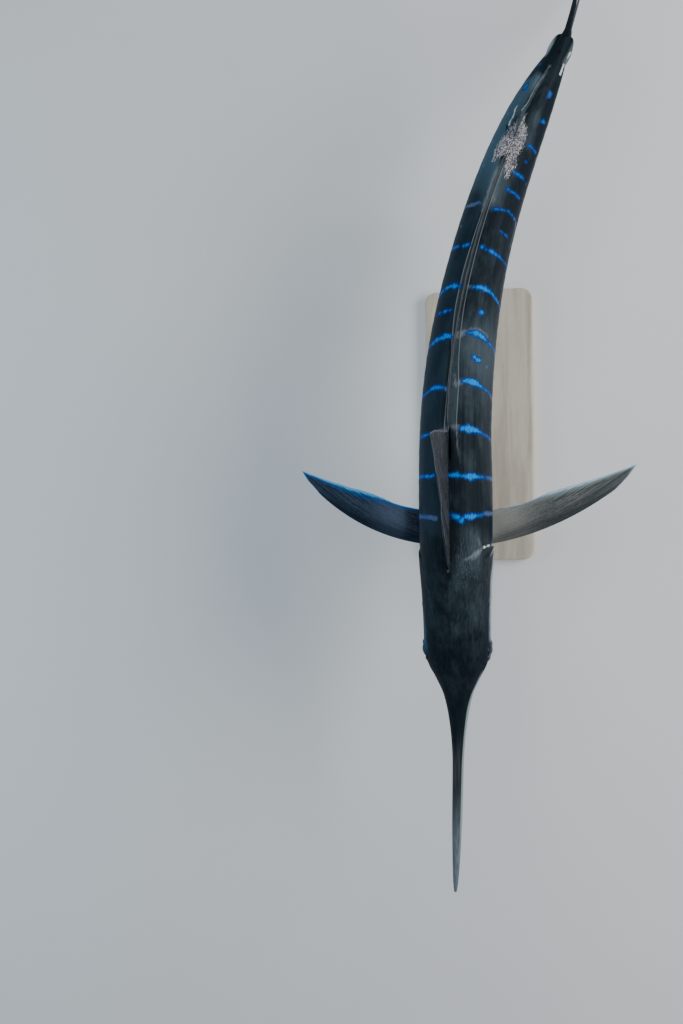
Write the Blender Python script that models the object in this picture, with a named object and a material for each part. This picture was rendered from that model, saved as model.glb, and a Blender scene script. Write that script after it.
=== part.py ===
"""A life-size still model of a striped marlin, held up by a plain display stand.

Everything is in metres. The fish is laid out straight, and a point on it is (place, side, height):
place runs along the spine from the tip of the bill, side is positive towards the fish's own left,
and height is above the spine. on_fish() bends the spine as the swimming fish bends it. The fish
swims towards -X with its left side towards -Y, and the stand's base lies on the floor at Z = 0.
"""

import math

import bmesh
import bpy
from mathutils import Vector

# The whole fish, along its spine from the tip of the bill.
JAW_TIP = 0.425
HEAD_START = 0.43
NOSTRIL = 0.630
EYE = 0.683
MOUTH_CORNER = 0.735
GILL_EDGE = 0.975
MIDDLE_START = 1.30
REAR_START = 1.66
STEM_START = 2.06
FORK = 2.50
SPINE_HEIGHT = 0.43

# The bend of the spine: lengths of it, each with its turn towards the fish's left.
BEND = (
    (1.22, 0.0),
    (1.13, math.radians(28.5)),
    (0.05, 0.0),
    (0.08, math.radians(-13.5)),
    (0.60, 0.0),
)
# The bill leaves the line of the body a little, upwards and towards the fish's right.
BILL_ROOT, BILL_RISE, BILL_LEAN = 0.52, 0.020, 0.011
# The tail fin is rolled a little towards the fish's left against the body.
TAIL_ROLL = math.radians(6.5)
ROLL_START, ROLL_END = 2.26, 2.43

# The outline of the body: half width, height of the back and depth of the belly, by place.
HALF_WIDTH = (
    (0.0, 0.0030), (0.012, 0.0050), (0.03, 0.0070), (0.113, 0.0112), (0.20, 0.0138), (0.36, 0.0158),
    (0.426, 0.0195), (0.497, 0.0285), (0.556, 0.0415), (0.597, 0.0595), (0.638, 0.0800), (0.663, 0.0885),
    (0.70, 0.0940), (0.78, 0.0955), (0.85, 0.0972), (0.94, 0.0997), (1.10, 0.1015), (1.30, 0.0985),
    (1.50, 0.0935), (1.65, 0.0868), (1.80, 0.0802), (1.95, 0.0750), (2.08, 0.0700), (2.20, 0.0615),
    (2.28, 0.0510), (2.34, 0.0410), (2.39, 0.0290), (2.445, 0.0160),
)
BACK = (
    (0.0, 0.0025), (0.07, 0.0085), (0.25, 0.0125), (0.40, 0.0160), (0.50, 0.0260), (0.60, 0.0480),
    (0.673, 0.0730), (0.767, 0.1080), (0.855, 0.1360), (0.93, 0.1510), (1.06, 0.1600), (1.30, 0.1540),
    (1.55, 0.1350), (1.82, 0.1060), (2.06, 0.0760), (2.24, 0.0510), (2.39, 0.0330), (2.47, 0.0350),
)
BELLY = (
    (0.425, 0.0250), (0.50, 0.0400), (0.60, 0.0650), (0.673, 0.0870), (0.767, 0.1120), (0.855, 0.1310),
    (0.95, 0.1440), (1.08, 0.1520), (1.30, 0.1490), (1.55, 0.1330), (1.82, 0.1060), (2.06, 0.0770),
    (2.24, 0.0510), (2.39, 0.0330), (2.47, 0.0350),
)
# Height of the widest level, and the power of the cross-section's curve: 1 is an ellipse.
WIDEST = ((0.40, 0.0), (0.60, 0.004), (0.80, 0.010), (1.10, 0.012), (1.80, 0.006), (2.30, 0.0))
FULLNESS = ((0.40, 1.0), (0.60, 0.94), (1.00, 0.86), (1.90, 0.88), (2.30, 0.96), (2.47, 1.0))

GAP = 0.0003
BODY_SIDES = 28
BILL_SIDES = 18
RING_STEP = 0.04
HEAD_STEP = 0.03

# The mouth's line falls from the tip of the lower jaw to the corner behind the eye.
MOUTH_FRONT, MOUTH_BACK = -0.0165, -0.0500
MOUTH_SLIT = 0.0011
JAW_POINT = 0.055
JAW_SIDES = 12

# The eye stands a little proud of the flank, and faces forward as the flank does there.
EYE_HEIGHT, EYE_PROUD, EYE_SLANT = 0.014, 0.0065, 0.16
EYE_RADIUS, EYE_BULGE = 0.0235, 0.0150
SOCKET_RIM = 0.0035

# The gill opening, seen from the side: its furthest point back, and how fast it runs forward from there.
GILL_MIDDLE = -0.03
GILL_ABOVE, GILL_BELOW = 2.3, 6.0
GILL_SWELL = 0.004
# The gill cover: its front, top and bottom, and the depth at which it lies in the head.
COVER_FRONT, COVER_TOP, COVER_BOTTOM, COVER_DEPTH = 0.815, 0.068, -0.098, 0.076

# The keels of the tail stem, and the last rings of the stem.
KEEL_PLACE, KEEL_LENGTH, KEEL_ROOT, KEEL_OUT, KEEL_THICK = 2.396, 0.048, 0.018, 0.024, 0.0048
KEEL_LIFT, KEEL_SLOPE = 0.0165, 0.10
STEM_END = [2.35, 2.38, 2.41, 2.445]

FRONT_ROD, REAR_ROD = 1.10, 1.60
ROD_RADIUS = 0.011
COLLAR_RADIUS, COLLAR_HEIGHT = 0.030, 0.010
SADDLE_RADIUS, SADDLE_DEPTH = 0.030, 0.012
BASE_PLACE, BASE_SIDE = 1.35, 0.020
BASE_LENGTH, BASE_WIDTH, BASE_THICK = 0.86, 0.34, 0.028
BASE_CORNER, BASE_EDGE = 0.035, 0.004


def clear_scene():
    """Removes whatever the scene holds, so that only the model is left."""
    for old in list(bpy.data.objects):
        bpy.data.objects.remove(old, do_unlink=True)


def material(name, colour, roughness, metallic=0.0):
    """A Principled material of one colour."""
    made = bpy.data.materials.new(name)
    made.use_nodes = True
    made.diffuse_color = (*colour, 1.0)
    shader = made.node_tree.nodes["Principled BSDF"]
    shader.inputs["Base Color"].default_value = (*colour, 1.0)
    shader.inputs["Roughness"].default_value = roughness
    shader.inputs["Metallic"].default_value = metallic
    return made


def smooth_value(points, place):
    """The value at a place on a smooth curve through (place, value) points, with no overshoot."""
    if place <= points[0][0]:
        return points[0][1]
    if place >= points[-1][0]:
        return points[-1][1]
    last = len(points) - 1
    i = next(k for k in range(last) if place <= points[k + 1][0])

    def slope(k):
        return (points[k + 1][1] - points[k][1]) / (points[k + 1][0] - points[k][0])

    def tangent(k):
        if k in (0, last):
            return slope(min(k, last - 1))
        before, after = slope(k - 1), slope(k)
        return 0.0 if before * after <= 0 else 2 * before * after / (before + after)

    step = points[i + 1][0] - points[i][0]
    t = (place - points[i][0]) / step
    low, high = points[i][1], points[i + 1][1]
    return (
        low * (1 + 2 * t) * (1 - t) ** 2
        + high * t * t * (3 - 2 * t)
        + step * t * (1 - t) * (tangent(i) * (1 - t) - tangent(i + 1) * t)
    )


def ease(t):
    """0 to 1 with soft ends."""
    t = min(max(t, 0.0), 1.0)
    return t * t * (3 - 2 * t)


def spine(place):
    """The spine's point and heading there, from straight lengths and arcs laid end to end."""
    x = y = heading = 0.0
    for length, turn in BEND:
        run = min(place, length)
        turned = turn * run / length
        chord = run if abs(turned) < 1e-9 else run * math.sin(turned / 2) / (turned / 2)
        x += chord * math.cos(heading + turned / 2)
        y -= chord * math.sin(heading + turned / 2)
        heading += turned
        place -= run
        if place <= 0:
            break
    return x, y, heading


ORIGIN_X = spine(BASE_PLACE)[0]


def on_fish(point):
    """A point of the straight fish (place, side, height), on the bent fish in the world."""
    place, side, height = point
    x, y, heading = spine(place)
    bill = max(0.0, (BILL_ROOT - place) / BILL_ROOT) ** 1.4
    side, height = side - bill * BILL_LEAN, height + bill * BILL_RISE
    roll = TAIL_ROLL * ease((place - ROLL_START) / (ROLL_END - ROLL_START))
    across = side * math.cos(roll) + height * math.sin(roll)
    above = height * math.cos(roll) - side * math.sin(roll)
    return Vector((
        x - across * math.sin(heading) - ORIGIN_X,
        y - across * math.cos(heading) + BASE_SIDE,
        SPINE_HEIGHT + above,
    ))


def new_object(name, mesh, finish):
    """Puts a mesh in the fish's collection under this name, with its material."""
    made = bpy.data.objects.new(name, mesh)
    mesh.materials.clear()
    if finish:
        mesh.materials.append(finish)
    marlin.objects.link(made)
    return made


def mesh_of(points, faces):
    """A mesh of these points and faces, with its normals pointing out."""
    made = bmesh.new()
    corners = [made.verts.new(p) for p in points]
    for face in faces:
        made.faces.new([corners[i] for i in face])
    return finished_mesh(made)


def finished_mesh(shape):
    """The mesh of a closed shape, with its normals pointing out."""
    shape.normal_update()
    bmesh.ops.recalc_face_normals(shape, faces=shape.faces)
    if shape.calc_volume(signed=True) < 0:
        bmesh.ops.reverse_faces(shape, faces=shape.faces)
    mesh = bpy.data.meshes.new("shape")
    shape.to_mesh(mesh)
    shape.free()
    return mesh


def loft(name, rings, finish):
    """One closed solid through rings with the same number of points, bent onto the fish."""
    count = len(rings[0])
    points = [on_fish(p) for ring in rings for p in ring]
    faces = []
    for row in range(len(rings) - 1):
        for i in range(count):
            a, b = row * count + i, row * count + (i + 1) % count
            faces += [(a, b, b + count), (a, b + count, a + count)]
    faces.append(tuple(range(count)))
    faces.append(tuple(range(len(points) - count, len(points))))
    made = new_object(name, mesh_of(points, faces), finish)
    made.data.shade_smooth()
    made.data.set_sharp_from_angle(angle=math.radians(35))
    return made


def section(place, count, grow=0.0, swell=0.0, belly=BELLY):
    """A ring of the body: (place, side, height) points, clockwise from the top as seen from the tail."""
    half = smooth_value(HALF_WIDTH, place) + grow
    top = smooth_value(BACK, place) + grow
    bottom = smooth_value(belly, place) + grow
    middle = smooth_value(WIDEST, place)
    power = smooth_value(FULLNESS, place)
    ring = []
    for i in range(count):
        angle = 2 * math.pi * i / count
        across, upward = math.sin(angle), math.cos(angle)
        side = math.copysign(abs(across) ** power, across) * (half + swell)
        reach = top - middle if upward > 0 else bottom + middle
        height = middle + math.copysign(abs(upward) ** power, upward) * reach
        ring.append((place, side, height))
    return ring


def flank(place, height):
    """How far out the body's surface is from its middle plane, at a place and a height."""
    middle = smooth_value(WIDEST, place)
    reach = smooth_value(BACK, place) - middle if height > middle else smooth_value(BELLY, place) + middle
    power = smooth_value(FULLNESS, place)
    upward = min(1.0, abs(height - middle) / reach) ** (1 / power)
    return smooth_value(HALF_WIDTH, place) * (1 - upward * upward) ** (power / 2)


def places(start, end, step):
    """Places from start to end that fall on the body's common rings, and the two ends."""
    first = math.ceil((start + 1e-4) / step)
    last = math.floor((end - 1e-4) / step)
    return [start] + [k * step for k in range(first, last + 1)] + [end]


def boolean(body, tool, operation, solver="EXACT"):
    """Cuts or joins a mesh object for good, and keeps only the largest closed surface."""
    step = body.modifiers.new("Boolean", "BOOLEAN")
    step.operation = operation
    step.solver = solver
    step.object = tool
    bpy.context.view_layer.update()
    graph = bpy.context.evaluated_depsgraph_get()
    finished = bpy.data.meshes.new_from_object(body.evaluated_get(graph))
    body.modifiers.clear()
    body.data = finished
    keep_largest(body)


def keep_largest(body):
    """Drops every loose surface of the mesh but the one of most volume."""
    shape = bmesh.new()
    shape.from_mesh(body.data)
    bmesh.ops.dissolve_degenerate(shape, edges=shape.edges, dist=1e-6)
    bmesh.ops.triangulate(shape, faces=shape.faces)
    left, groups = set(shape.faces), []
    while left:
        front, group = [left.pop()], []
        while front:
            face = front.pop()
            group.append(face)
            for edge in face.edges:
                for other in edge.link_faces:
                    if other in left:
                        left.remove(other)
                        front.append(other)
        groups.append(group)

    def volume(group):
        return abs(sum(f.verts[0].co.dot(f.verts[1].co.cross(f.verts[2].co)) for f in group))

    groups.sort(key=volume)
    for group in groups[:-1]:
        bmesh.ops.delete(shape, geom=group, context="FACES")
    loose = [v for v in shape.verts if not v.link_faces]
    bmesh.ops.delete(shape, geom=loose, context="VERTS")
    shape.to_mesh(body.data)
    shape.free()


def remove(*tools):
    """Takes away helper objects once they have done their work."""
    for tool in tools:
        bpy.data.objects.remove(tool, do_unlink=True)


def ball(name, centre, radii, segments, rings, finish=None):
    """An ellipsoid with its radii along the place, side and height directions."""
    made = bmesh.new()
    bmesh.ops.create_uvsphere(made, u_segments=segments, v_segments=rings, radius=1.0)
    for corner in made.verts:
        corner.co = on_fish(Vector(centre) + Vector(c * r for c, r in zip(corner.co, radii)))
    mesh = finished_mesh(made)
    mesh.shade_smooth()
    return new_object(name, mesh, finish)


def side_prism(name, outline, near, far):
    """A block with a side-view outline of (place, height) points, between two side distances."""
    count = len(outline)
    points = [on_fish((p, side, h)) for side in (near, far) for p, h in outline]
    faces = [tuple(range(count)), tuple(range(count, 2 * count))]
    faces += [(i, (i + 1) % count, (i + 1) % count + count, i + count) for i in range(count)]
    return new_object(name, mesh_of(points, faces), None)


def gill_line(height):
    """The place of the gill opening at a height."""
    rise = height - GILL_MIDDLE
    return GILL_EDGE - (GILL_ABOVE if rise > 0 else GILL_BELOW) * rise * rise


def mouth_height(place):
    """The height of the mouth's line at a place."""
    share = (place - JAW_TIP) / (MOUTH_CORNER - JAW_TIP)
    return MOUTH_FRONT + (MOUTH_BACK - MOUTH_FRONT) * share


def make_bill():
    """The long upper jaw in front of the mouth: round in section, tapering to its tip."""
    stops = [0.0, 0.012, 0.035] + places(0.07, HEAD_START - GAP, 0.045)
    return loft("bill", [section(p, BILL_SIDES, belly=BACK) for p in stops], bone)


def make_whole_head():
    """The head's skin down to the mouth's line in front, and whole behind the mouth's corner."""
    rings = []
    stops = places(HEAD_START, MOUTH_CORNER, HEAD_STEP)
    for place in stops:
        floor = mouth_height(place) + MOUTH_SLIT
        rings.append([(p, s, max(h, floor)) for p, s, h in section(place, BODY_SIDES)])
    for place in places(MOUTH_CORNER + GAP, GILL_EDGE + 0.03, HEAD_STEP):
        swell = GILL_SWELL * ease((place - COVER_FRONT) / (GILL_EDGE - COVER_FRONT))
        rings.append(section(place, BODY_SIDES, swell=swell))
    return loft("head", rings, skin)


def behind_gill(grow):
    """A cutter for all that lies behind the gill opening, moved forward by grow."""
    heights = [-0.22 + 0.02 * k for k in range(23)]
    edge = [(gill_line(h) - grow, h) for h in heights]
    return side_prism("behind_gill", edge + [(1.20, 0.22), (1.20, -0.22)], -0.25, 0.25)


def ahead_of_gill():
    """A cutter for all that lies ahead of the gill opening."""
    heights = [-0.22 + 0.02 * k for k in range(23)]
    edge = [(gill_line(h) + GAP, h) for h in heights]
    return side_prism("ahead_of_gill", edge + [(0.60, 0.22), (0.60, -0.22)], -0.25, 0.25)


def cover_outline(grow):
    """The gill cover's outline from the side: a rounded front edge, open towards the gill opening."""
    middle = (COVER_TOP + COVER_BOTTOM) / 2
    half = (COVER_TOP - COVER_BOTTOM) / 2 + grow
    turns = [math.radians(90 + 180 * k / 12) for k in range(13)]
    front = [(COVER_FRONT + 0.045 + (0.045 + grow) * math.cos(a), middle + half * math.sin(a)) for a in turns]
    return front + [(1.10, middle - half), (1.10, middle + half)]


def make_head():
    """The head with its eye sockets, socket rims and nostrils, and the two gill covers let into it."""
    head = make_whole_head()
    behind = behind_gill(0.0)
    boolean(head, behind, "DIFFERENCE")
    covers = []
    for name, way in (("gill_cover_left", 1), ("gill_cover_right", -1)):
        cover = new_object(name, head.data.copy(), skin)
        block = side_prism("block", cover_outline(0.0), way * COVER_DEPTH, way * 0.2)
        boolean(cover, block, "INTERSECT")
        remove(block)
        covers.append(cover)
    for way in (1, -1):
        block = side_prism("block", cover_outline(GAP), way * (COVER_DEPTH - GAP), way * 0.2)
        boolean(head, block, "DIFFERENCE")
        remove(block)
    remove(behind)
    for way in (1, -1):
        add_socket(head, way)
        for place, height, length in ((NOSTRIL, 0.020, 0.0035), (NOSTRIL + 0.013, 0.021, 0.006)):
            out = way * (flank(place, height) - 0.002)
            pit = ball("pit", (place, out, height), (length, 0.008, 0.0022), 8, 6)
            boolean(head, pit, "DIFFERENCE")
            remove(pit)
    return head, covers


def eye_ball(name, way, grow, segments, rings, finish=None):
    """The eye's flattened ball, turned to face as the flank does."""
    shape = bmesh.new()
    bmesh.ops.create_uvsphere(shape, u_segments=segments, v_segments=rings, radius=1.0)
    middle = flank(EYE, EYE_HEIGHT) + EYE_PROUD - EYE_BULGE
    for corner in shape.verts:
        along, out, up = corner.co.x * (EYE_RADIUS + grow), corner.co.y, corner.co.z * (EYE_RADIUS + grow)
        reach = middle + out * (EYE_BULGE + grow) + EYE_SLANT * along
        corner.co = on_fish((EYE + along, way * reach, EYE_HEIGHT + up))
    mesh = finished_mesh(shape)
    mesh.shade_smooth()
    return new_object(name, mesh, finish)


def add_socket(head, way):
    """A low bony rim round the eye, and the socket that the eye sits in."""
    points, faces = [], []
    turns, sides = 18, 6
    for i in range(turns):
        around = 2 * math.pi * i / turns
        for k in range(sides):
            small = 2 * math.pi * k / sides
            reach = EYE_RADIUS + SOCKET_RIM * (0.5 + math.cos(small))
            place, up = EYE + reach * math.cos(around), EYE_HEIGHT + reach * math.sin(around)
            out = flank(place, up) + SOCKET_RIM * (0.3 + math.sin(small))
            points.append(on_fish((place, way * out, up)))
    for i in range(turns):
        for k in range(sides):
            a, b = i * sides + k, i * sides + (k + 1) % sides
            c, d = (i + 1) % turns * sides + (k + 1) % sides, (i + 1) % turns * sides + k
            faces += [(a, b, c), (a, c, d)]
    ring = new_object("rim", mesh_of(points, faces), None)
    boolean(head, ring, "UNION")
    socket = eye_ball("socket", way, GAP, 18, 10)
    boolean(head, socket, "DIFFERENCE")
    remove(ring, socket)


def jaw_ring(place):
    """A ring of the lower jaw: flat on top under the mouth's line, and the belly's curve below."""
    half, bottom = smooth_value(HALF_WIDTH, place), smooth_value(BELLY, place)
    middle, power = smooth_value(WIDEST, place), smooth_value(FULLNESS, place)
    roof = mouth_height(place) - MOUTH_SLIT
    share = min(1.0, (place - JAW_TIP + 0.003) / JAW_POINT) ** 0.5
    start = math.acos(((middle - roof) / (bottom + middle)) ** (1 / power))
    ring = []
    for k in range(JAW_SIDES + 1):
        angle = start * (1 - 2 * k / JAW_SIDES)
        side = math.copysign(abs(math.sin(angle)) ** power, angle) * half
        height = middle - math.cos(angle) ** power * (bottom + middle)
        ring.append((place, side * share, roof + (height - roof) * share))
    edge = ring[-1][1]
    return ring + [(place, edge * part, roof) for part in (0.5, 0.0, -0.5)]


def make_lower_jaw():
    """The pointed lower jaw, shut under the upper one."""
    stops = [JAW_TIP] + places(JAW_TIP + 0.008, MOUTH_CORNER - GAP, HEAD_STEP)
    return loft("lower_jaw", [jaw_ring(p) for p in stops], skin)


def make_torso():
    """The trunk in three lengths and the tail stem, parted by thin gaps."""
    front_stops = places(0.80, MIDDLE_START - GAP / 2, RING_STEP)
    front = loft("torso_front", [section(p, BODY_SIDES) for p in front_stops], skin)
    tool = ahead_of_gill()
    boolean(front, tool, "DIFFERENCE")
    remove(tool)
    for name, start, end in (
        ("torso_middle", MIDDLE_START, REAR_START),
        ("torso_rear", REAR_START, STEM_START),
    ):
        stops = places(start + GAP / 2, end - GAP / 2, RING_STEP)
        loft(name, [section(p, BODY_SIDES) for p in stops], skin)


def make_tail_stem():
    """The narrow stem before the tail fin, with two keels on each side."""
    stops = places(STEM_START + GAP / 2, 2.32, RING_STEP) + STEM_END
    stem = loft("tail_stem", [section(p, BODY_SIDES) for p in stops], skin)
    for side in (1, -1):
        for above in (1, -1):
            keel = make_keel(side, above)
            boolean(stem, keel, "UNION")
            remove(keel)
    return stem


def make_keel(side, above):
    """One keel: a long, flat ball that leans towards the middle of the stem behind."""
    shape = bmesh.new()
    bmesh.ops.create_uvsphere(shape, u_segments=10, v_segments=6, radius=1.0)
    for corner in shape.verts:
        along = corner.co.x * KEEL_LENGTH
        out = KEEL_ROOT + corner.co.y * KEEL_OUT
        height = KEEL_LIFT - KEEL_SLOPE * along + corner.co.z * KEEL_THICK
        corner.co = on_fish((KEEL_PLACE + along, side * out, above * height))
    return new_object("keel", finished_mesh(shape), None)


def ray_fin(name, root, tip, bow, rays, rows, thick, finish=None, body=None):
    """A fin of rays joined by a membrane: each ray stands proud of both faces.

    root(u) and tip(u) give a ray's two ends and bow(u) the way that its middle bends, all as
    (place, side, height), for u from 0 at the leading ray to 1 at the last. thick is the half
    thickness at the root, above the root and at the tip, and it halves towards the last ray.
    """
    columns = 2 * rays - 1
    middle = []
    for i in range(columns):
        u = i / (columns - 1)
        start, end, bend = Vector(root(u)), Vector(tip(u)), Vector(bow(u))
        line = []
        for k in range(rows + 1):
            t = k / rows
            line.append(start.lerp(end, t) + bend * (4 * t * (1 - t)))
        middle.append(line)
    faces_points = [[], []]
    for i, line in enumerate(middle):
        near, far = middle[max(i - 1, 0)], middle[min(i + 1, columns - 1)]
        ridge = 1.0 if i % 2 == 0 else 0.5
        for k, point in enumerate(line):
            t = k / rows
            along = line[min(k + 1, rows)] - line[max(k - 1, 0)]
            normal = along.cross(far[k] - near[k]).normalized()
            half = thick[1] + (thick[2] - thick[1]) * t + (thick[0] - thick[1]) * (1 - min(1.0, t * 4)) ** 2
            half = max(half * ridge * (1 - 0.5 * i / (columns - 1)), thick[2])
            faces_points[0].append(on_fish(point + normal * half))
            faces_points[1].append(on_fish(point - normal * half))
    size = columns * (rows + 1)
    points = faces_points[0] + faces_points[1]
    faces = []
    for i in range(columns - 1):
        for k in range(rows):
            a = i * (rows + 1) + k
            b, c, d = a + rows + 1, a + rows + 2, a + 1
            for low in (0, size):
                faces += [(a + low, b + low, c + low), (a + low, c + low, d + low)]
    edge = [k for k in range(rows + 1)]
    edge += [i * (rows + 1) + rows for i in range(1, columns)]
    edge += [(columns - 1) * (rows + 1) + k for k in range(rows - 1, -1, -1)]
    edge += [i * (rows + 1) for i in range(columns - 2, 0, -1)]
    for a, b in zip(edge, edge[1:] + edge[:1]):
        faces += [(a, b, b + size), (a, b + size, a + size)]
    fin = new_object(name, mesh_of(points, faces), finish or membrane)
    boolean(fin, body or whole_body, "DIFFERENCE", "MANIFOLD")
    fin.data.shade_flat()
    return fin


def line_between(points, u):
    """A point a share u along a run of (share, point) stops."""
    for (low, start), (high, end) in zip(points, points[1:]):
        if u <= high:
            return Vector(start).lerp(Vector(end), (u - low) / (high - low))
    return Vector(points[-1][1])


def back(place, above=0.0, side=0.0):
    """A point on the ridge of the back."""
    return (place, side, smooth_value(BACK, place) + above)


def under(place, below=0.0, side=0.0):
    """A point on the ridge of the belly."""
    return (place, side, -smooth_value(BELLY, place) - below)


def make_dorsal_fins():
    """The first dorsal fin, its front lobe half raised and its rear folded down, and the second."""
    lobe_tips = (
        (0.0, back(0.985, 0.050, -0.002)), (0.10, back(1.080, 0.100, -0.005)),
        (0.20, back(1.170, 0.136, -0.009)), (0.34, back(1.272, 0.196, -0.017)),
        (0.50, back(1.287, 0.150, -0.011)), (0.75, back(1.291, 0.070, -0.003)),
        (1.0, back(1.296, 0.018)),
    )
    ray_fin(
        "dorsal_fin_lobe",
        lambda u: back(0.903 + 0.352 * u, -0.012),
        lambda u: line_between(lobe_tips, u),
        lambda u: (0.0, -0.004, 0.004 * (1 - u)),
        rays=15, rows=6, thick=(0.0042, 0.0032, 0.0008),
    )
    ray_fin(
        "dorsal_fin_folded",
        lambda u: back(1.270 + 0.740 * u, -0.012),
        lambda u: back(1.318 + 0.775 * u, 0.020 - 0.006 * u),
        lambda u: (0.0, 0.0, 0.002),
        rays=24, rows=3, thick=(0.0060, 0.0046, 0.0018),
    )
    ray_fin(
        "second_dorsal_fin",
        lambda u: back(2.115 + 0.085 * u, -0.010),
        lambda u: line_between(((0.0, back(2.185, 0.062)), (0.4, back(2.205, 0.040)),
                                (0.75, back(2.235, 0.024)), (1.0, back(2.300, 0.020))), u),
        lambda u: (0.0, 0.0, 0.004 * (1 - u)),
        rays=7, rows=4, thick=(0.0030, 0.0022, 0.0007),
    )


def make_anal_fins():
    """The two fins under the tail half of the body."""
    tips = (
        (0.0, under(1.905, 0.158)), (0.18, under(1.925, 0.150)), (0.40, under(1.915, 0.092)),
        (0.70, under(1.945, 0.038)), (1.0, under(1.995, 0.014)),
    )
    ray_fin(
        "first_anal_fin",
        lambda u: under(1.735 + 0.205 * u, -0.012),
        lambda u: line_between(tips, u),
        lambda u: (0.0, 0.0, -0.012 * (1 - u)),
        rays=12, rows=5, thick=(0.0038, 0.0028, 0.0008),
    )
    ray_fin(
        "second_anal_fin",
        lambda u: under(2.080 + 0.085 * u, -0.010),
        lambda u: line_between(((0.0, under(2.150, 0.060)), (0.4, under(2.170, 0.038)),
                                (0.75, under(2.200, 0.022)), (1.0, under(2.265, 0.018))), u),
        lambda u: (0.0, 0.0, -0.004 * (1 - u)),
        rays=7, rows=4, thick=(0.0030, 0.0022, 0.0007),
    )


PECTORAL_FRONT, PECTORAL_BACK = 0.978, 1.074
PECTORAL_TIP = (1.207, 0.502, -0.155)


def make_pectoral_fin(name, way):
    """One long, scythe-shaped fin, held out flat from low on the flank."""

    def root(u):
        place = PECTORAL_FRONT + (PECTORAL_BACK - PECTORAL_FRONT) * u
        return (place, way * 0.075, -0.050 - 0.006 * u)

    trailing = (
        (0.0, PECTORAL_TIP), (0.15, (1.180, 0.430, -0.136)), (0.35, (1.155, 0.350, -0.116)),
        (0.60, (1.130, 0.262, -0.094)), (0.82, (1.100, 0.190, -0.077)), (1.0, (1.084, 0.130, -0.064)),
    )

    def tip(u):
        place, side, height = line_between(trailing, u)
        return (place, way * side, height)

    return ray_fin(
        name, root, tip,
        lambda u: (-0.040 * (1 - u) ** 1.3, way * 0.006 * (1 - u), 0.012 * (1 - u)),
        rays=15, rows=8, thick=(0.0085, 0.0034, 0.0007),
    )


def make_pelvic_fin(name, way):
    """One thin, strap-like fin under the breast, trailing just clear of the belly."""

    def root(u):
        return (0.990 + 0.016 * u, way * (0.014 + 0.006 * u), 0.012 - smooth_value(BELLY, 0.99))

    def tip(u):
        return (1.325 - 0.012 * u, way * (0.062 + 0.0045 * u), -0.190)

    return ray_fin(
        name, root, tip,
        lambda u: (0.0, way * 0.004, -0.014),
        rays=4, rows=9, thick=(0.0034, 0.0026, 0.0008),
    )


LOBE_ROOT, LOBE_TIP = 2.430, (2.775, 0.400)
LOBE_EDGE = (
    (0.0, LOBE_TIP), (0.28, (2.684, 0.285)), (0.52, (2.612, 0.180)), (0.75, (2.555, 0.088)),
    (0.90, (2.520, 0.030)), (1.0, (2.500, 0.0)),
)


def make_tail_lobe(name, way):
    """One lobe of the crescent tail fin, its rays fanned from the end of the stem."""

    def point(place, height):
        return (place, 0.0, way * (height + GAP / 2))

    def tip(u):
        edge = [(share, (place, 0.0, height)) for share, (place, height) in LOBE_EDGE]
        place, _, height = line_between(edge, u)
        return point(place, height)

    return ray_fin(
        name,
        lambda u: point(LOBE_ROOT, 0.031 * (1 - u)),
        tip,
        lambda u: (-0.024 * (1 - u), 0.0, way * 0.016 * (1 - u)),
        rays=13, rows=9, thick=(0.0085, 0.0048, 0.0010),
    )


def upright(name, place, radius, low, high, finish, sides=24):
    """An upright round bar or disc under the spine."""
    x, y, _ = on_fish((place, 0.0, 0.0))
    made = bmesh.new()
    bmesh.ops.create_cone(
        made, cap_ends=True, segments=sides, radius1=radius, radius2=radius, depth=high - low
    )
    for corner in made.verts:
        corner.co += Vector((x, y, (low + high) / 2))
    mesh = bpy.data.meshes.new(name)
    made.to_mesh(mesh)
    made.free()
    return new_object(name, mesh, finish)


def make_stand():
    """A flat base, and two rods from it up to saddles under the breast and the belly."""
    shape = bmesh.new()
    bmesh.ops.create_cube(shape, size=1.0)
    for corner in shape.verts:
        corner.co = Vector((corner.co.x * BASE_LENGTH, corner.co.y * BASE_WIDTH, (corner.co.z + 0.5) * BASE_THICK))
    uprights = [e for e in shape.edges if abs(e.verts[0].co.z - e.verts[1].co.z) > 1e-6]
    bmesh.ops.bevel(shape, geom=uprights, offset=BASE_CORNER, segments=6, profile=0.5, affect="EDGES")
    rims = [e for e in shape.edges if all(v.co.z > BASE_THICK - 1e-6 for v in e.verts)]
    bmesh.ops.bevel(shape, geom=rims, offset=BASE_EDGE, segments=2, profile=0.5, affect="EDGES")
    mesh = bpy.data.meshes.new("stand_base")
    shape.to_mesh(mesh)
    shape.free()
    new_object("stand_base", mesh, wood)
    for which, place in (("front", FRONT_ROD), ("rear", REAR_ROD)):
        belly = SPINE_HEIGHT - smooth_value(BELLY, place)
        collar_top = BASE_THICK + GAP + COLLAR_HEIGHT
        saddle_low = belly - SADDLE_DEPTH
        upright(f"stand_collar_{which}", place, COLLAR_RADIUS, BASE_THICK + GAP, collar_top, steel)
        upright(f"stand_rod_{which}", place, ROD_RADIUS, collar_top + GAP, saddle_low - GAP, steel)
        saddle = upright(f"stand_saddle_{which}", place, SADDLE_RADIUS, saddle_low, belly + 0.02, pad)
        boolean(saddle, whole_body, "DIFFERENCE")


clear_scene()
marlin = bpy.data.collections.new("striped_marlin")
bpy.context.scene.collection.children.link(marlin)

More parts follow.
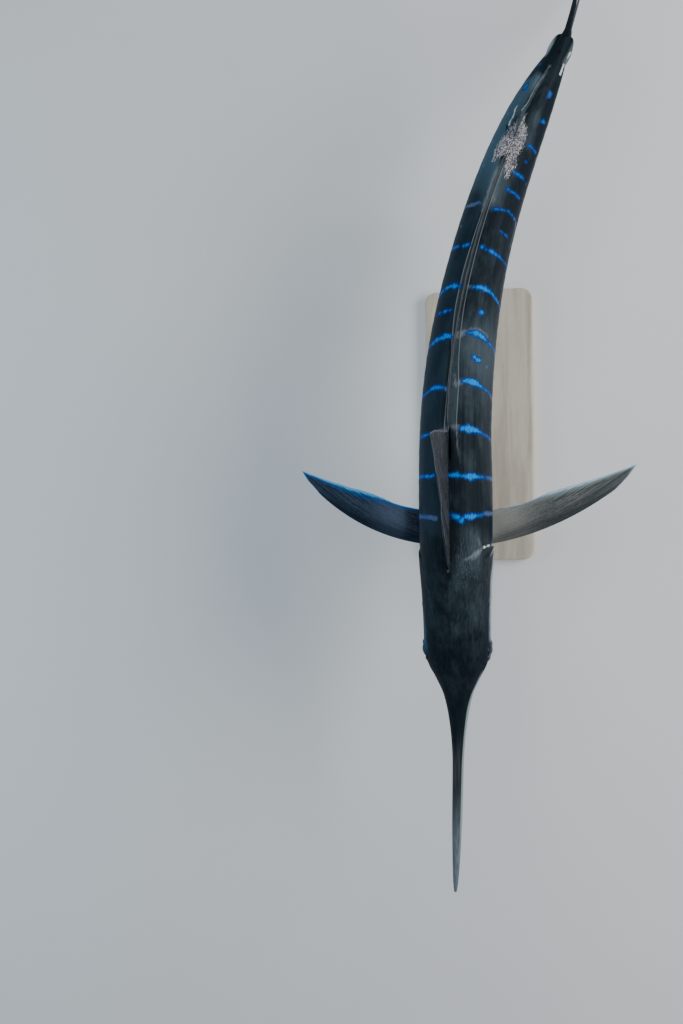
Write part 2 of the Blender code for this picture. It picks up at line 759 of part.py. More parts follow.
skin = material("skin", (0.055, 0.065, 0.075), 0.35)
bone = material("bill_skin", (0.10, 0.095, 0.10), 0.45)
membrane = material("fin_membrane", (0.10, 0.085, 0.075), 0.45)
eye_gloss = material("eye_gloss", (0.02, 0.03, 0.05), 0.08)
wood = material("base_wood", (0.55, 0.47, 0.36), 0.5)
steel = material("rod_steel", (0.62, 0.62, 0.63), 0.3, 1.0)
pad = material("saddle_pad", (0.04, 0.04, 0.045), 0.7)

make_bill()
make_head()
eye_ball("eye_left", 1, 0.0, 18, 10, eye_gloss)
eye_ball("eye_right", -1, 0.0, 18, 10, eye_gloss)
make_lower_jaw()
make_torso()
make_tail_stem()

# The whole body, larger by the gap, cuts the root of each fin and the top of each saddle to fit.
body_stops = places(0.80, 2.32, RING_STEP) + STEM_END[:-1] + [STEM_END[-1] + GAP]
whole_body = loft("whole_body", [section(p, BODY_SIDES, grow=GAP) for p in body_stops], None)

make_dorsal_fins()
make_anal_fins()
for fin_side, way in (("left", 1), ("right", -1)):
    make_pectoral_fin(f"pectoral_fin_{fin_side}", way)
    make_pelvic_fin(f"pelvic_fin_{fin_side}", way)
make_tail_lobe("tail_fin_upper", 1)
make_tail_lobe("tail_fin_lower", -1)
make_stand()
remove(whole_body)
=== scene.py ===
import math

import bpy
import numpy as np
from mathutils import Matrix, Vector


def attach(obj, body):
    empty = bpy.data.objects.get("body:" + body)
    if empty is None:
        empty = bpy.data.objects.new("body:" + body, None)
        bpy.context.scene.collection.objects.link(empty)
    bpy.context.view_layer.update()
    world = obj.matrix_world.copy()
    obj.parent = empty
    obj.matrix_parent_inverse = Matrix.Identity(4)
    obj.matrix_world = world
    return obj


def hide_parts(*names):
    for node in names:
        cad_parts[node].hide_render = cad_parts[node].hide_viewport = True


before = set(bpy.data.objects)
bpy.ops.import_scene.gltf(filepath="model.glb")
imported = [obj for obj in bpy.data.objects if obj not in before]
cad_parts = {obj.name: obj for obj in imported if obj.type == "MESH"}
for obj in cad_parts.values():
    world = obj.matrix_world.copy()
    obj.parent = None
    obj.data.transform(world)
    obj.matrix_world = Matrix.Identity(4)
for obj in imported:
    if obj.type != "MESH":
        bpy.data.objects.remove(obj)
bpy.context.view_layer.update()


# The hide: one skin over bill, head, shut lower jaw, gill covers, trunk and tail stem, cast in one and
# painted, with a pressed mouth slit and raised gill edges. Places run along the spine from the tip of
# the bill and sides towards the fish's left, in metres.
BEND = (
    (1.22, 0.0),
    (1.13, math.radians(28.5)),
    (0.05, 0.0),
    (0.08, math.radians(-13.5)),
    (0.60, 0.0),
)
BILL_ROOT, BILL_RISE, BILL_LEAN = 0.52, 0.020, 0.011
TAIL_ROLL, ROLL_START, ROLL_END = math.radians(6.5), 2.26, 2.43
SPINE_HEIGHT, MIDDLE_PLACE, BASE_SIDE = 0.43, 1.35, 0.020
HALF_WIDTH = (
    (0.0, 0.0028), (0.006, 0.0042), (0.012, 0.0050), (0.03, 0.0070), (0.113, 0.0112), (0.20, 0.0138),
    (0.36, 0.0158), (0.426, 0.0195), (0.497, 0.0285), (0.556, 0.0415), (0.597, 0.0595), (0.638, 0.0800),
    (0.663, 0.0885), (0.70, 0.0940), (0.78, 0.0955), (0.85, 0.0972), (0.94, 0.0997), (1.10, 0.1015),
    (1.30, 0.0985), (1.50, 0.0935), (1.65, 0.0868), (1.80, 0.0802), (1.95, 0.0750), (2.08, 0.0700),
    (2.20, 0.0615), (2.28, 0.0510), (2.34, 0.0400), (2.39, 0.0275), (2.435, 0.0170), (2.462, 0.0100),
    (2.475, 0.0020),
)
BACK = (
    (0.0, 0.0025), (0.07, 0.0085), (0.25, 0.0125), (0.40, 0.0160), (0.50, 0.0260), (0.60, 0.0480),
    (0.673, 0.0730), (0.767, 0.1080), (0.855, 0.1360), (0.93, 0.1510), (1.06, 0.1600), (1.30, 0.1540),
    (1.55, 0.1350), (1.82, 0.1060), (2.06, 0.0760), (2.24, 0.0510), (2.39, 0.0325), (2.44, 0.0320),
    (2.475, 0.0300),
)
BELLY = (
    (0.425, 0.0250), (0.50, 0.0400), (0.60, 0.0650), (0.673, 0.0870), (0.767, 0.1120), (0.855, 0.1310),
    (0.95, 0.1440), (1.08, 0.1520), (1.30, 0.1490), (1.55, 0.1330), (1.82, 0.1060), (2.06, 0.0770),
    (2.24, 0.0510), (2.39, 0.0325), (2.44, 0.0320), (2.475, 0.0300),
)
WIDEST = ((0.40, 0.0), (0.60, 0.004), (0.80, 0.010), (1.10, 0.012), (1.80, 0.006), (2.30, 0.0))
FULLNESS = ((0.40, 1.0), (0.60, 0.94), (1.00, 0.86), (1.90, 0.88), (2.30, 0.96), (2.47, 1.0))

# The sheet that the hide is wrapped from: how its columns are spread along the fish, and its rows
# round one flank, which lie closest along the mouth's line.
COLUMNS, ROWS = 440, 60
STATIONS = (
    (0, 0.0), (8, 0.012), (50, 0.40), (98, 0.60), (168, 0.78), (204, 0.955), (226, 0.991),
    (410, 2.32), (440, 2.475),
)
FOLD_ROW, SHOULDER_ROW, LIP_ROW, MOUTH_ROW = 5, 9, 40, 45
LIP_STEPS = (0.0080, 0.0050, 0.0030, 0.0016, 0.0007, 0.0)

JAW_TIP, MOUTH_CORNER, MOUTH_FRONT, MOUTH_BACK = 0.425, 0.735, -0.0165, -0.0500
JAW_POINT, SLIT_DEPTH, SLIT_WIDTH, LIP_SWELL = 0.055, 0.0046, 0.0010, 0.0011
EYE, EYE_HEIGHT, EYE_RADIUS, EYE_BULGE, EYE_PROUD, EYE_SLANT = 0.683, 0.014, 0.0235, 0.0150, 0.0065, 0.16
LID, LID_FALL, RIM_REACH, RIM_SWELL = 0.0208, 0.0016, 0.0250, 0.0034
NOSTRILS = ((0.630, 0.020, 0.0042, 0.0024), (0.644, 0.0212, 0.0064, 0.0023))
GILL_EDGE, GILL_MIDDLE, GILL_ABOVE, GILL_BELOW = 0.975, -0.03, 2.3, 6.0
GILL_SWELL, GILL_DROP, COVER_FRONT = 0.0040, 0.0030, 0.815
KEEL_PLACE, KEEL_LENGTH, KEEL_ROOT, KEEL_OUT, KEEL_THICK = 2.400, 0.042, 0.016, 0.016, 0.0042
STEM_END, END_START, END_ROUND = 2.475, 2.43, 0.020
KEEL_LIFT, KEEL_SLOPE = 0.0165, 0.10
# The lips of the groove along the back: how far round from the back's middle each one is, by place.
LEFT_FOLD = ((0.95, 0.012), (1.20, 0.020), (1.40, 0.0205), (1.487, 0.013), (1.567, 0.008), (1.648, 0.005),
             (1.80, 0.004), (2.00, 0.003), (2.15, 0.002))
RIGHT_FOLD = ((0.95, 0.012), (1.20, 0.014), (1.40, 0.009), (1.484, 0.008), (1.564, 0.014), (1.648, 0.018),
              (1.732, 0.017), (1.804, 0.014), (1.876, 0.011), (1.948, 0.008), (2.06, 0.005), (2.15, 0.002))


def along(points, place):
    """The values at some places on a smooth curve through (place, value) points, with no overshoot."""
    stops, values = np.array(points).T
    steps = np.diff(stops)
    slopes = np.diff(values) / steps
    tangents = np.empty(len(stops))
    tangents[0], tangents[-1] = slopes[0], slopes[-1]
    before, after = slopes[:-1], slopes[1:]
    same_way = before * after > 0
    tangents[1:-1] = np.where(same_way, 2 * before * after / np.where(same_way, before + after, 1.0), 0.0)
    place = np.clip(place, stops[0], stops[-1])
    i = np.clip(np.searchsorted(stops, place) - 1, 0, len(stops) - 2)
    t = (place - stops[i]) / steps[i]
    return (
        values[i] * (1 + 2 * t) * (1 - t) ** 2
        + values[i + 1] * t * t * (3 - 2 * t)
        + steps[i] * t * (1 - t) * (tangents[i] * (1 - t) - tangents[i + 1] * t)
    )


def eased(value, start=0.0, end=1.0):
    """0 before start and 1 after end, with soft ends."""
    t = np.clip((value - start) / (end - start), 0.0, 1.0)
    return t * t * (3 - 2 * t)


def hump(distance, reach):
    """A soft hump, 1 where the distance is none, that dies away over about twice the reach."""
    return np.exp(-((distance / reach) ** 2))


def spine(place):
    """The spine's points and headings, from straight lengths and arcs laid end to end."""
    left = np.array(place, float)
    x, y, heading = np.zeros_like(left), np.zeros_like(left), np.zeros_like(left)
    for length, turn in BEND:
        run = np.clip(left, 0.0, length)
        turned = turn * run / length
        chord = run * np.sinc(turned / 2 / math.pi)
        x += chord * np.cos(heading + turned / 2)
        y -= chord * np.sin(heading + turned / 2)
        heading += turned
        left -= run
    return x, y, heading


def on_fish(place, side, height):
    """Points of the straight fish, bent as the swimming fish bends, as rows of x, y, z in the world."""
    x, y, heading = spine(place)
    bill = np.clip((BILL_ROOT - place) / BILL_ROOT, 0.0, None) ** 1.4
    side, height = side - bill * BILL_LEAN, height + bill * BILL_RISE
    roll = TAIL_ROLL * eased(place, ROLL_START, ROLL_END)
    across = side * np.cos(roll) + height * np.sin(roll)
    above = height * np.cos(roll) - side * np.sin(roll)
    middle = float(spine(MIDDLE_PLACE)[0])
    return np.stack([
        x - across * np.sin(heading) - middle,
        y - across * np.cos(heading) + BASE_SIDE,
        SPINE_HEIGHT + above,
    ], axis=1)


def mouth_height(place):
    """The height of the mouth's line, from the tip of the lower jaw to the corner behind the eye."""
    share = (np.clip(place, JAW_TIP, MOUTH_CORNER) - JAW_TIP) / (MOUTH_CORNER - JAW_TIP)
    return MOUTH_FRONT + (MOUTH_BACK - MOUTH_FRONT) * share


def gill_line(height):
    """The place of the gill opening at a height."""
    rise = height - GILL_MIDDLE
    return GILL_EDGE - np.where(rise > 0, GILL_ABOVE, GILL_BELOW) * rise * rise


def bottom_reach(place):
    """The depth of the underside: the round bill's in front, easing into the belly's at the jaw's tip."""
    belly = along(BELLY, place)
    return np.where(
        place < JAW_TIP, along(BACK, place) + (0.025 - 0.0172) * eased(place, 0.34, JAW_TIP), belly
    )


def ring(place, angle):
    """Side and height on the body's cross-section, for angles from 0 on the back to pi at the belly."""
    half, top, bottom = along(HALF_WIDTH, place), along(BACK, place), bottom_reach(place)
    middle, power = along(WIDEST, place), along(FULLNESS, place)
    upward = np.cos(angle)
    reach = np.where(upward > 0, top - middle, bottom + middle)
    height = middle + np.sign(upward) * np.abs(upward) ** power * reach
    side = half * np.abs(np.sin(angle)) ** power
    return side, height


def flank(place, height):
    """How far out the body's surface is from its middle plane, at a place and a height."""
    middle, power = along(WIDEST, place), along(FULLNESS, place)
    reach = np.where(height > middle, along(BACK, place) - middle, along(BELLY, place) + middle)
    upward = np.minimum(1.0, np.abs(height - middle) / reach) ** (1 / power)
    return along(HALF_WIDTH, place) * (1 - upward * upward) ** (power / 2)


def row_round(place, row, way):
    """Where rows lie round one flank at one place: their angles, distances from the back's middle,
    distances below the mouth's line, and shares of the way down."""
    angles = np.linspace(0.0, math.pi, 721)
    stops = np.full(angles.shape, place)
    side, height = ring(stops, angles)
    run = np.concatenate([[0.0], np.cumsum(np.hypot(np.diff(side), np.diff(height)))])
    slit = float(eased(place, 0.34, JAW_TIP)) * (1 - float(eased(place, 0.745, 0.82)))
    mouth = float(np.interp(-mouth_height(place), -height, run))
    level = slit * mouth + (1 - slit) * 0.63 * run[-1]
    fold = float(along(LEFT_FOLD if way > 0 else RIGHT_FOLD, place)) if place > 0.85 else 0.05 * level
    fold = min(fold, 0.12 * level)
    shoulder = max(0.12 * level, 1.7 * fold)
    plain = (level - shoulder) / (MOUTH_ROW - SHOULDER_ROW)
    close = [slit * min(step, 0.12 * level * step / 0.008) + (1 - slit) * plain * k
             for step, k in zip(LIP_STEPS, (5, 4, 3, 2, 1, 0))]
    below = (run[-1] - level) / (ROWS - MOUTH_ROW)
    wide = [slit * min(step, below * k) + (1 - slit) * below * k
            for step, k in zip(LIP_STEPS[-2::-1], (1, 2, 3, 4, 5))]
    knots = [0, FOLD_ROW, SHOULDER_ROW] + list(range(LIP_ROW, MOUTH_ROW + 6)) + [ROWS]
    marks = [0.0, fold, shoulder] + [level - c for c in close] + [level + w for w in wide] + [run[-1]]
    distance = np.interp(row, knots, marks)
    return np.interp(distance, run, angles), distance, distance - mouth, distance / run[-1]


def wrap_hide(columns, rows):
    """The hide's points for columns and rows of the flat sheet: places, sides and heights on the
    straight fish, with what its paint goes by."""
    rest = np.interp(columns, *zip(*STATIONS))
    way = np.where(rows < ROWS, 1.0, -1.0)
    row = np.where(rows < ROWS, rows, 2 * ROWS - rows)
    angle, arc, below, down = (np.empty(len(rest)) for _ in range(4))
    for stop in np.unique(rest):
        for turn in (1.0, -1.0):
            here = (rest == stop) & (way == turn)
            if here.any():
                angle[here], arc[here], below[here], down[here] = row_round(stop, row[here], turn)
    side, height = ring(rest, angle)
    # Columns near the gill covers' edge follow it.
    drawn = eased(rest, 0.80, GILL_EDGE) * (1 - eased(rest, GILL_EDGE, 1.12))
    place = rest + drawn * (gill_line(np.clip(height, -0.150, 0.150)) - GILL_EDGE)
    place -= END_ROUND * eased(rest, END_START, STEM_END) * (height / 0.030) ** 2
    side, height = ring(place, angle)
    near, far = ring(place, np.clip(angle - 0.01, 0, math.pi)), ring(place,
                                                                     np.clip(angle + 0.01, 0, math.pi))
    out = np.stack([near[1] - far[1], far[0] - near[0]])
    out /= np.maximum(np.hypot(*out), 1e-9)
    # The flat roof of the mouth before the jaw's tip, and the lower jaw, narrower than the upper.
    roof = mouth_height(place)
    before = (place < JAW_TIP) & (place > 0.30)
    height = np.where(before, np.maximum(height, roof), height)
    jaw = (place >= JAW_TIP) & (place < MOUTH_CORNER) & (below > 0.0004)
    share = np.clip((place - JAW_TIP + 0.003) / JAW_POINT, 0.0, 1.0) ** 0.5
    side = np.where(jaw, side * share, side)
    height = np.where(jaw, roof + (height - roof) * share, height)
    # The slit of the mouth, the lips along it and the fold behind its corner.
    open_length = eased(place, JAW_TIP - 0.004, JAW_TIP + 0.012) * (1 - eased(place, MOUTH_CORNER - 0.006,
                                                                              0.744))
    rise = -SLIT_DEPTH * open_length * hump(below, SLIT_WIDTH)
    rise += LIP_SWELL * open_length * hump(np.abs(below) - 0.0036, 0.0022)
    corner = np.hypot(place - 0.747, (height - MOUTH_BACK + 0.004) * 0.55)
    rise -= 0.0020 * hump(corner, 0.006)
    # The eye's raised surround, its rim, and the socket inside the lid.
    reach = np.hypot(place - EYE, height - EYE_HEIGHT)
    beside = angle > 0.4
    rise += np.where(beside, 0.0015 * hump(reach, 0.040), 0.0)
    rise += np.where(beside, RIM_SWELL * hump(reach - RIM_REACH, 0.0042), 0.0)
    rise -= np.where(beside, 0.0175 * (1 - eased(reach, LID - LID_FALL, LID)), 0.0)
    for spot, level, length, width in NOSTRILS:
        pit = np.hypot((place - spot) / length, (height - level - 0.15 * (place - spot)) / width)
        rise += np.where(beside, 0.0007 * hump(pit - 1.5, 0.5) - 0.0042 * (1 - eased(pit, 0.55, 1.15)), 0.0)
    # The gill cover's swell, its edge, and the cheek's edge before it.
    past = place - gill_line(height)
    reach_up = (1 - eased(height, 0.060, 0.108)) * eased(height, -0.141, -0.128)
    swell = GILL_SWELL * eased(place, COVER_FRONT, GILL_EDGE) * (1 - eased(past, -0.0005, 0.0016))
    rise += reach_up * (swell - GILL_DROP * eased(past, -0.0003, 0.0018) * (1 - eased(past, 0.002, 0.022)))
    cheek = place - (0.832 - 3.4 * (height + 0.02) ** 2)
    cheek_up = (1 - eased(height, 0.035, 0.075)) * eased(height, -0.110, -0.085)
    rise += cheek_up * (0.0012 * hump(cheek + 0.004, 0.006) - 0.0014 * hump(cheek - 0.0025, 0.0028))
    # The throat's folds under the gill covers.
    throat = eased(place, 0.70, 0.80) * (1 - eased(place, 0.93, 0.955)) * eased(down, 0.78, 0.86)
    rise += throat * 0.0004 * np.sin(arc / 0.0088 * math.pi)
    # The groove along the back and the folds of skin on each side of it.
    fold = np.where(way > 0, along(LEFT_FOLD, place), along(RIGHT_FOLD, place))
    groove = eased(place, 1.16, 1.26) * (1 - eased(place, 2.05, 2.16))
    rise += groove * (0.0013 * hump(arc - fold, 0.0030) - 0.0012 * hump(arc, 0.62 * fold + 1e-6))
    socket = eased(place, 1.205, 1.225) * (1 - eased(place, 1.290, 1.325))
    rise -= socket * 0.0050 * hump(way * arc - 0.0020, 0.0026)
    # Muscle under the skin: faint slanting bands on the flanks, and hollows along the trunk.
    trunk = eased(place, 1.0, 1.12) * (1 - eased(place, 2.25, 2.36))
    slant = place + 0.9 * np.abs(height) * np.abs(height) * 4
    rise += trunk * 0.00022 * np.sin(slant / 0.0415 * 2 * math.pi) * eased(down, 0.18, 0.4)
    rise -= trunk * 0.0012 * hump(down - 0.50, 0.035)
    # The bill is a little flattened, with a faint ridge along each side.
    bill = 1 - eased(place, 0.30, 0.46)
    rise += bill * 0.0006 * hump(down - 0.5, 0.06)
    side, height = side + out[0] * rise, height + out[1] * rise
    # The two keels on each side of the stem.
    for above in (1.0, -1.0):
        run = (place - KEEL_PLACE) / KEEL_LENGTH
        level = above * (KEEL_LIFT - KEEL_SLOPE * (place - KEEL_PLACE))
        left = 1 - run * run - ((height - level) / KEEL_THICK) ** 2
        keel = KEEL_ROOT + KEEL_OUT * np.sqrt(np.clip(left, 0.0, None))
        side = np.where(left > 0, np.maximum(side, keel), side)
    return place, way * side, height, way * arc, down, way * fold, below


def gather(mesh, name, vectors):
    """Stores one vector for each point of a mesh under a name that its paint reads."""
    layer = mesh.attributes.new(name, "FLOAT_VECTOR", "POINT")
    layer.data.foreach_set("vector", np.ascontiguousarray(vectors, np.float32).ravel())


def pick_faces(mesh, chosen):
    """Selects just these faces of a mesh, for the edit-mode step that follows."""
    mesh.polygons.foreach_set("select", chosen)
    corners = np.zeros(len(mesh.vertices), bool)
    for face in np.flatnonzero(chosen):
        polygon = mesh.polygons[face]
        corners[list(polygon.vertices)] = True
    ends = np.empty(len(mesh.edges) * 2, np.int32)
    mesh.edges.foreach_get("vertices", ends)
    edges = corners[ends.reshape(-1, 2)].all(axis=1)
    mesh.edges.foreach_set("select", edges)
    mesh.vertices.foreach_set("select", corners)


def flat_sheet(name, across, down):
    """A flat sheet of this many faces each way, one unit square, to be wrapped into shape."""
    bpy.ops.object.select_all(action="DESELECT")
    bpy.ops.mesh.primitive_grid_add(x_subdivisions=across, y_subdivisions=down, size=1.0,
                                    location=(0, 0, 0))
    sheet = bpy.context.object
    sheet.name = sheet.data.name = name
    return sheet


def points_of(piece):
    """The points of a piece's mesh as rows of x, y, z."""
    points = np.empty(len(piece.data.vertices) * 3)
    piece.data.vertices.foreach_get("co", points)
    return points.reshape(-1, 3)


def close_up(piece, distance=2e-5):
    """Welds a wrapped sheet along its seams, fills its open ends, and turns its faces outwards."""
    bpy.ops.object.select_all(action="DESELECT")
    piece.select_set(True)
    bpy.context.view_layer.objects.active = piece
    bpy.ops.object.mode_set(mode="EDIT")
    bpy.ops.mesh.select_all(action="SELECT")
    bpy.ops.mesh.remove_doubles(threshold=distance)
    bpy.ops.mesh.select_all(action="SELECT")
    bpy.ops.mesh.fill_holes(sides=0)
    bpy.ops.mesh.select_all(action="SELECT")
    bpy.ops.mesh.normals_make_consistent(inside=False)
    bpy.ops.object.mode_set(mode="OBJECT")
    bpy.ops.object.shade_smooth()
    piece.select_set(False)


def cut_finer(piece, chosen, cuts):
    """Cuts the chosen faces of a flat sheet into smaller ones."""
    bpy.ops.object.select_all(action="DESELECT")
    piece.select_set(True)
    bpy.context.view_layer.objects.active = piece
    bpy.ops.object.mode_set(mode="EDIT")
    bpy.ops.mesh.select_mode(type="FACE")
    bpy.ops.mesh.select_all(action="DESELECT")
    bpy.ops.object.mode_set(mode="OBJECT")
    pick_faces(piece.data, chosen)
    bpy.ops.object.mode_set(mode="EDIT")
    bpy.ops.mesh.subdivide(number_cuts=cuts)
    bpy.ops.mesh.select_mode(type="VERT")
    bpy.ops.object.mode_set(mode="OBJECT")


def face_middles(piece):
    """The middle of each face of a flat sheet, in columns and rows."""
    middles = np.empty(len(piece.data.polygons) * 3)
    piece.data.polygons.foreach_get("center", middles)
    middles = middles.reshape(-1, 3)
    return (middles[:, 0] + 0.5) * COLUMNS, (middles[:, 1] + 0.5) * 2 * ROWS


hide = flat_sheet("skin", COLUMNS, 2 * ROWS)


def near_eye(piece, length, rise):
    """Which faces of the flat sheet will lie near an eye."""
    columns, rows = face_middles(piece)
    place, side, height, *_ = wrap_hide(columns, rows)
    return (np.abs(place - EYE) < length) & (np.abs(height - EYE_HEIGHT) < rise) & (np.abs(side) > 0.05)


cut_finer(hide, near_eye(hide, 0.042, 0.040), 1)
cut_finer(hide, near_eye(hide, 0.031, 0.031), 1)
sheet_columns, sheet_rows = face_middles(hide)
nose_place, nose_side, nose_height, *_ = wrap_hide(sheet_columns, sheet_rows)
near_nose = (np.abs(nose_place - 0.638) < 0.020) & (np.abs(nose_height - 0.021) < 0.009)
cut_finer(hide, near_nose & (np.abs(nose_side) > 0.03), 2)
sheet_columns, sheet_rows = face_middles(hide)
keel_place, _, keel_height, *_ = wrap_hide(sheet_columns, sheet_rows)
near_keel = (np.abs(keel_place - KEEL_PLACE) < 0.052) & (np.abs(np.abs(keel_height) - KEEL_LIFT) < 0.011)
cut_finer(hide, near_keel, 1)

# The paint's marks. Each bar is a run of (place, way round from the back's middle, half width,
# brightness) points, from the back down the flank; a spot is a bar with one point.
LEFT_BARS = (
    ((1.066, 0.006, 0.006, 0.6), (1.059, 0.024, 0.010, 0.9)), ((1.050, 0.035, 0.010, 1.0),),
    ((1.059, 0.047, 0.008, 0.8), (1.060, 0.064, 0.010, 1.0), (1.062, 0.084, 0.006, 0.8),
     (1.067, 0.123, 0.005, 0.5), (1.068, 0.200, 0.004, 0.4), (1.070, 0.240, 0.004, 0.3)),
    ((1.173, 0.003, 0.006, 0.8), (1.172, 0.022, 0.010, 0.9), (1.170, 0.037, 0.005, 0.7),
     (1.169, 0.062, 0.012, 1.0),
     (1.168, 0.090, 0.007, 0.9), (1.167, 0.125, 0.0045, 0.6), (1.164, 0.225, 0.004, 0.4)),
    ((1.300, 0.036, 0.008, 0.9), (1.300, 0.054, 0.013, 1.0), (1.298, 0.073, 0.010, 1.0),
     (1.291, 0.105, 0.005, 0.8), (1.274, 0.205, 0.004, 0.5)),
    ((1.432, 0.030, 0.006, 0.9), (1.432, 0.052, 0.0115, 1.0), (1.428, 0.074, 0.0095, 1.0),
     (1.418, 0.102, 0.0046, 0.8), (1.398, 0.205, 0.004, 0.4)),
    ((1.563, 0.026, 0.005, 0.6), (1.568, 0.046, 0.0105, 1.0), (1.563, 0.070, 0.0095, 1.0),
     (1.550, 0.104, 0.0046, 0.8), (1.530, 0.190, 0.004, 0.4)),
    ((1.692, 0.018, 0.004, 0.7), (1.696, 0.041, 0.008, 1.0), (1.692, 0.067, 0.008, 1.0),
     (1.681, 0.098, 0.0045, 0.9), (1.658, 0.178, 0.003, 0.6)),
    ((1.806, 0.017, 0.007, 0.9), (1.802, 0.030, 0.004, 0.6)),
    ((1.801, 0.040, 0.007, 0.9), (1.796, 0.074, 0.006, 0.9), (1.790, 0.100, 0.004, 0.7),
     (1.784, 0.165, 0.003, 0.6)),
    ((1.917, 0.018, 0.006, 0.9), (1.921, 0.038, 0.005, 0.9), (1.923, 0.060, 0.005, 0.9),
     (1.913, 0.104, 0.004, 0.6)),
    ((1.981, 0.034, 0.005, 0.9), (1.973, 0.088, 0.005, 0.9)),
    ((2.032, 0.038, 0.006, 0.9), (2.028, 0.070, 0.006, 0.8)),
    ((2.119, 0.044, 0.005, 0.9), (2.116, 0.070, 0.005, 0.8), (2.112, 0.084, 0.004, 0.7)),
    ((1.864, 0.057, 0.004, 0.7), (1.857, 0.090, 0.004, 0.8)),
    ((1.627, 0.057, 0.0085, 1.0),), ((1.501, 0.054, 0.0080, 1.0), (1.492, 0.074, 0.0075, 1.0)),
    ((1.480, 0.112, 0.005, 0.5),), ((2.020, 0.095, 0.004, 0.7),), ((2.072, 0.059, 0.005, 0.8),),
    ((2.196, 0.057, 0.008, 0.8), (2.200, 0.062, 0.008, 0.8)),
    ((2.276, 0.038, 0.009, 0.7), (2.268, 0.040, 0.008, 0.7)),
    # Lower on the flank, out of the photograph: the bars carry on as the kind's do, fainter and broken.
    ((1.070, 0.255, 0.004, 0.4), (1.074, 0.290, 0.003, 0.2)),
    ((1.162, 0.240, 0.004, 0.4), (1.160, 0.285, 0.003, 0.2)),
    ((1.270, 0.222, 0.004, 0.4), (1.262, 0.285, 0.003, 0.2)),
    ((1.394, 0.222, 0.004, 0.4), (1.386, 0.272, 0.003, 0.2)),
    ((1.524, 0.205, 0.004, 0.4), (1.516, 0.250, 0.003, 0.2)),
    ((1.654, 0.192, 0.004, 0.4), (1.646, 0.228, 0.003, 0.2)),
    ((1.782, 0.178, 0.003, 0.4), (1.776, 0.205, 0.003, 0.2)),
    ((1.908, 0.118, 0.004, 0.5), (1.900, 0.170, 0.003, 0.3)),
)
RIGHT_BARS = (
    ((1.056, 0.036, 0.005, 0.4), (1.060, 0.064, 0.005, 0.5), (1.061, 0.131, 0.005, 0.5),
     (1.066, 0.230, 0.005, 0.4)),
    ((1.172, 0.044, 0.007, 0.8), (1.172, 0.066, 0.006, 0.8), (1.172, 0.110, 0.006, 0.7),
     (1.166, 0.215, 0.005, 0.4)),
    ((1.288, 0.049, 0.004, 0.8), (1.284, 0.070, 0.005, 0.8), (1.280, 0.099, 0.006, 0.7),
     (1.272, 0.200, 0.005, 0.4)),
    ((1.405, 0.006, 0.005, 0.5), (1.408, 0.016, 0.004, 0.4)),
    ((1.409, 0.024, 0.006, 0.8), (1.411, 0.048, 0.007, 0.9), (1.402, 0.068, 0.006, 0.8),
     (1.392, 0.090, 0.005, 0.7), (1.384, 0.200, 0.004, 0.4)),
    ((1.549, 0.020, 0.008, 1.0), (1.548, 0.030, 0.009, 1.0), (1.544, 0.047, 0.009, 1.0),
     (1.534, 0.072, 0.007, 0.9), (1.526, 0.092, 0.005, 0.7), (1.510, 0.180, 0.004, 0.4)),
    ((1.622, 0.030, 0.006, 0.9), (1.616, 0.054, 0.0045, 0.8), (1.608, 0.090, 0.0035, 0.7)),
    ((1.688, 0.018, 0.006, 0.9), (1.688, 0.041, 0.008, 1.0), (1.680, 0.070, 0.006, 0.9),
     (1.664, 0.097, 0.004, 0.7), (1.650, 0.170, 0.003, 0.4)),
    ((1.806, 0.019, 0.006, 0.9), (1.800, 0.036, 0.006, 0.9)),
    ((1.797, 0.056, 0.007, 0.9), (1.795, 0.070, 0.006, 0.9), (1.792, 0.105, 0.005, 0.7),
     (1.782, 0.165, 0.003, 0.4)),
    ((1.924, 0.028, 0.005, 0.6), (1.917, 0.046, 0.005, 0.5), (1.908, 0.100, 0.004, 0.4)),
    ((1.856, 0.070, 0.004, 0.4),), ((2.028, 0.060, 0.005, 0.4),), ((2.100, 0.066, 0.005, 0.4),),
    ((2.272, 0.034, 0.008, 1.0), (2.262, 0.038, 0.007, 0.9)), ((2.340, 0.032, 0.006, 0.7),),
    ((2.185, 0.052, 0.005, 0.5),),
    ((1.072, 0.250, 0.004, 0.4), (1.076, 0.290, 0.003, 0.2)),
    ((1.160, 0.235, 0.004, 0.4), (1.158, 0.285, 0.003, 0.2)),
    ((1.268, 0.220, 0.004, 0.4), (1.262, 0.282, 0.003, 0.2)),
    ((1.380, 0.218, 0.004, 0.4), (1.374, 0.268, 0.003, 0.2)),
    ((1.506, 0.198, 0.004, 0.4), (1.500, 0.246, 0.003, 0.2)),
    ((1.646, 0.185, 0.004, 0.4), (1.640, 0.224, 0.003, 0.2)),
)
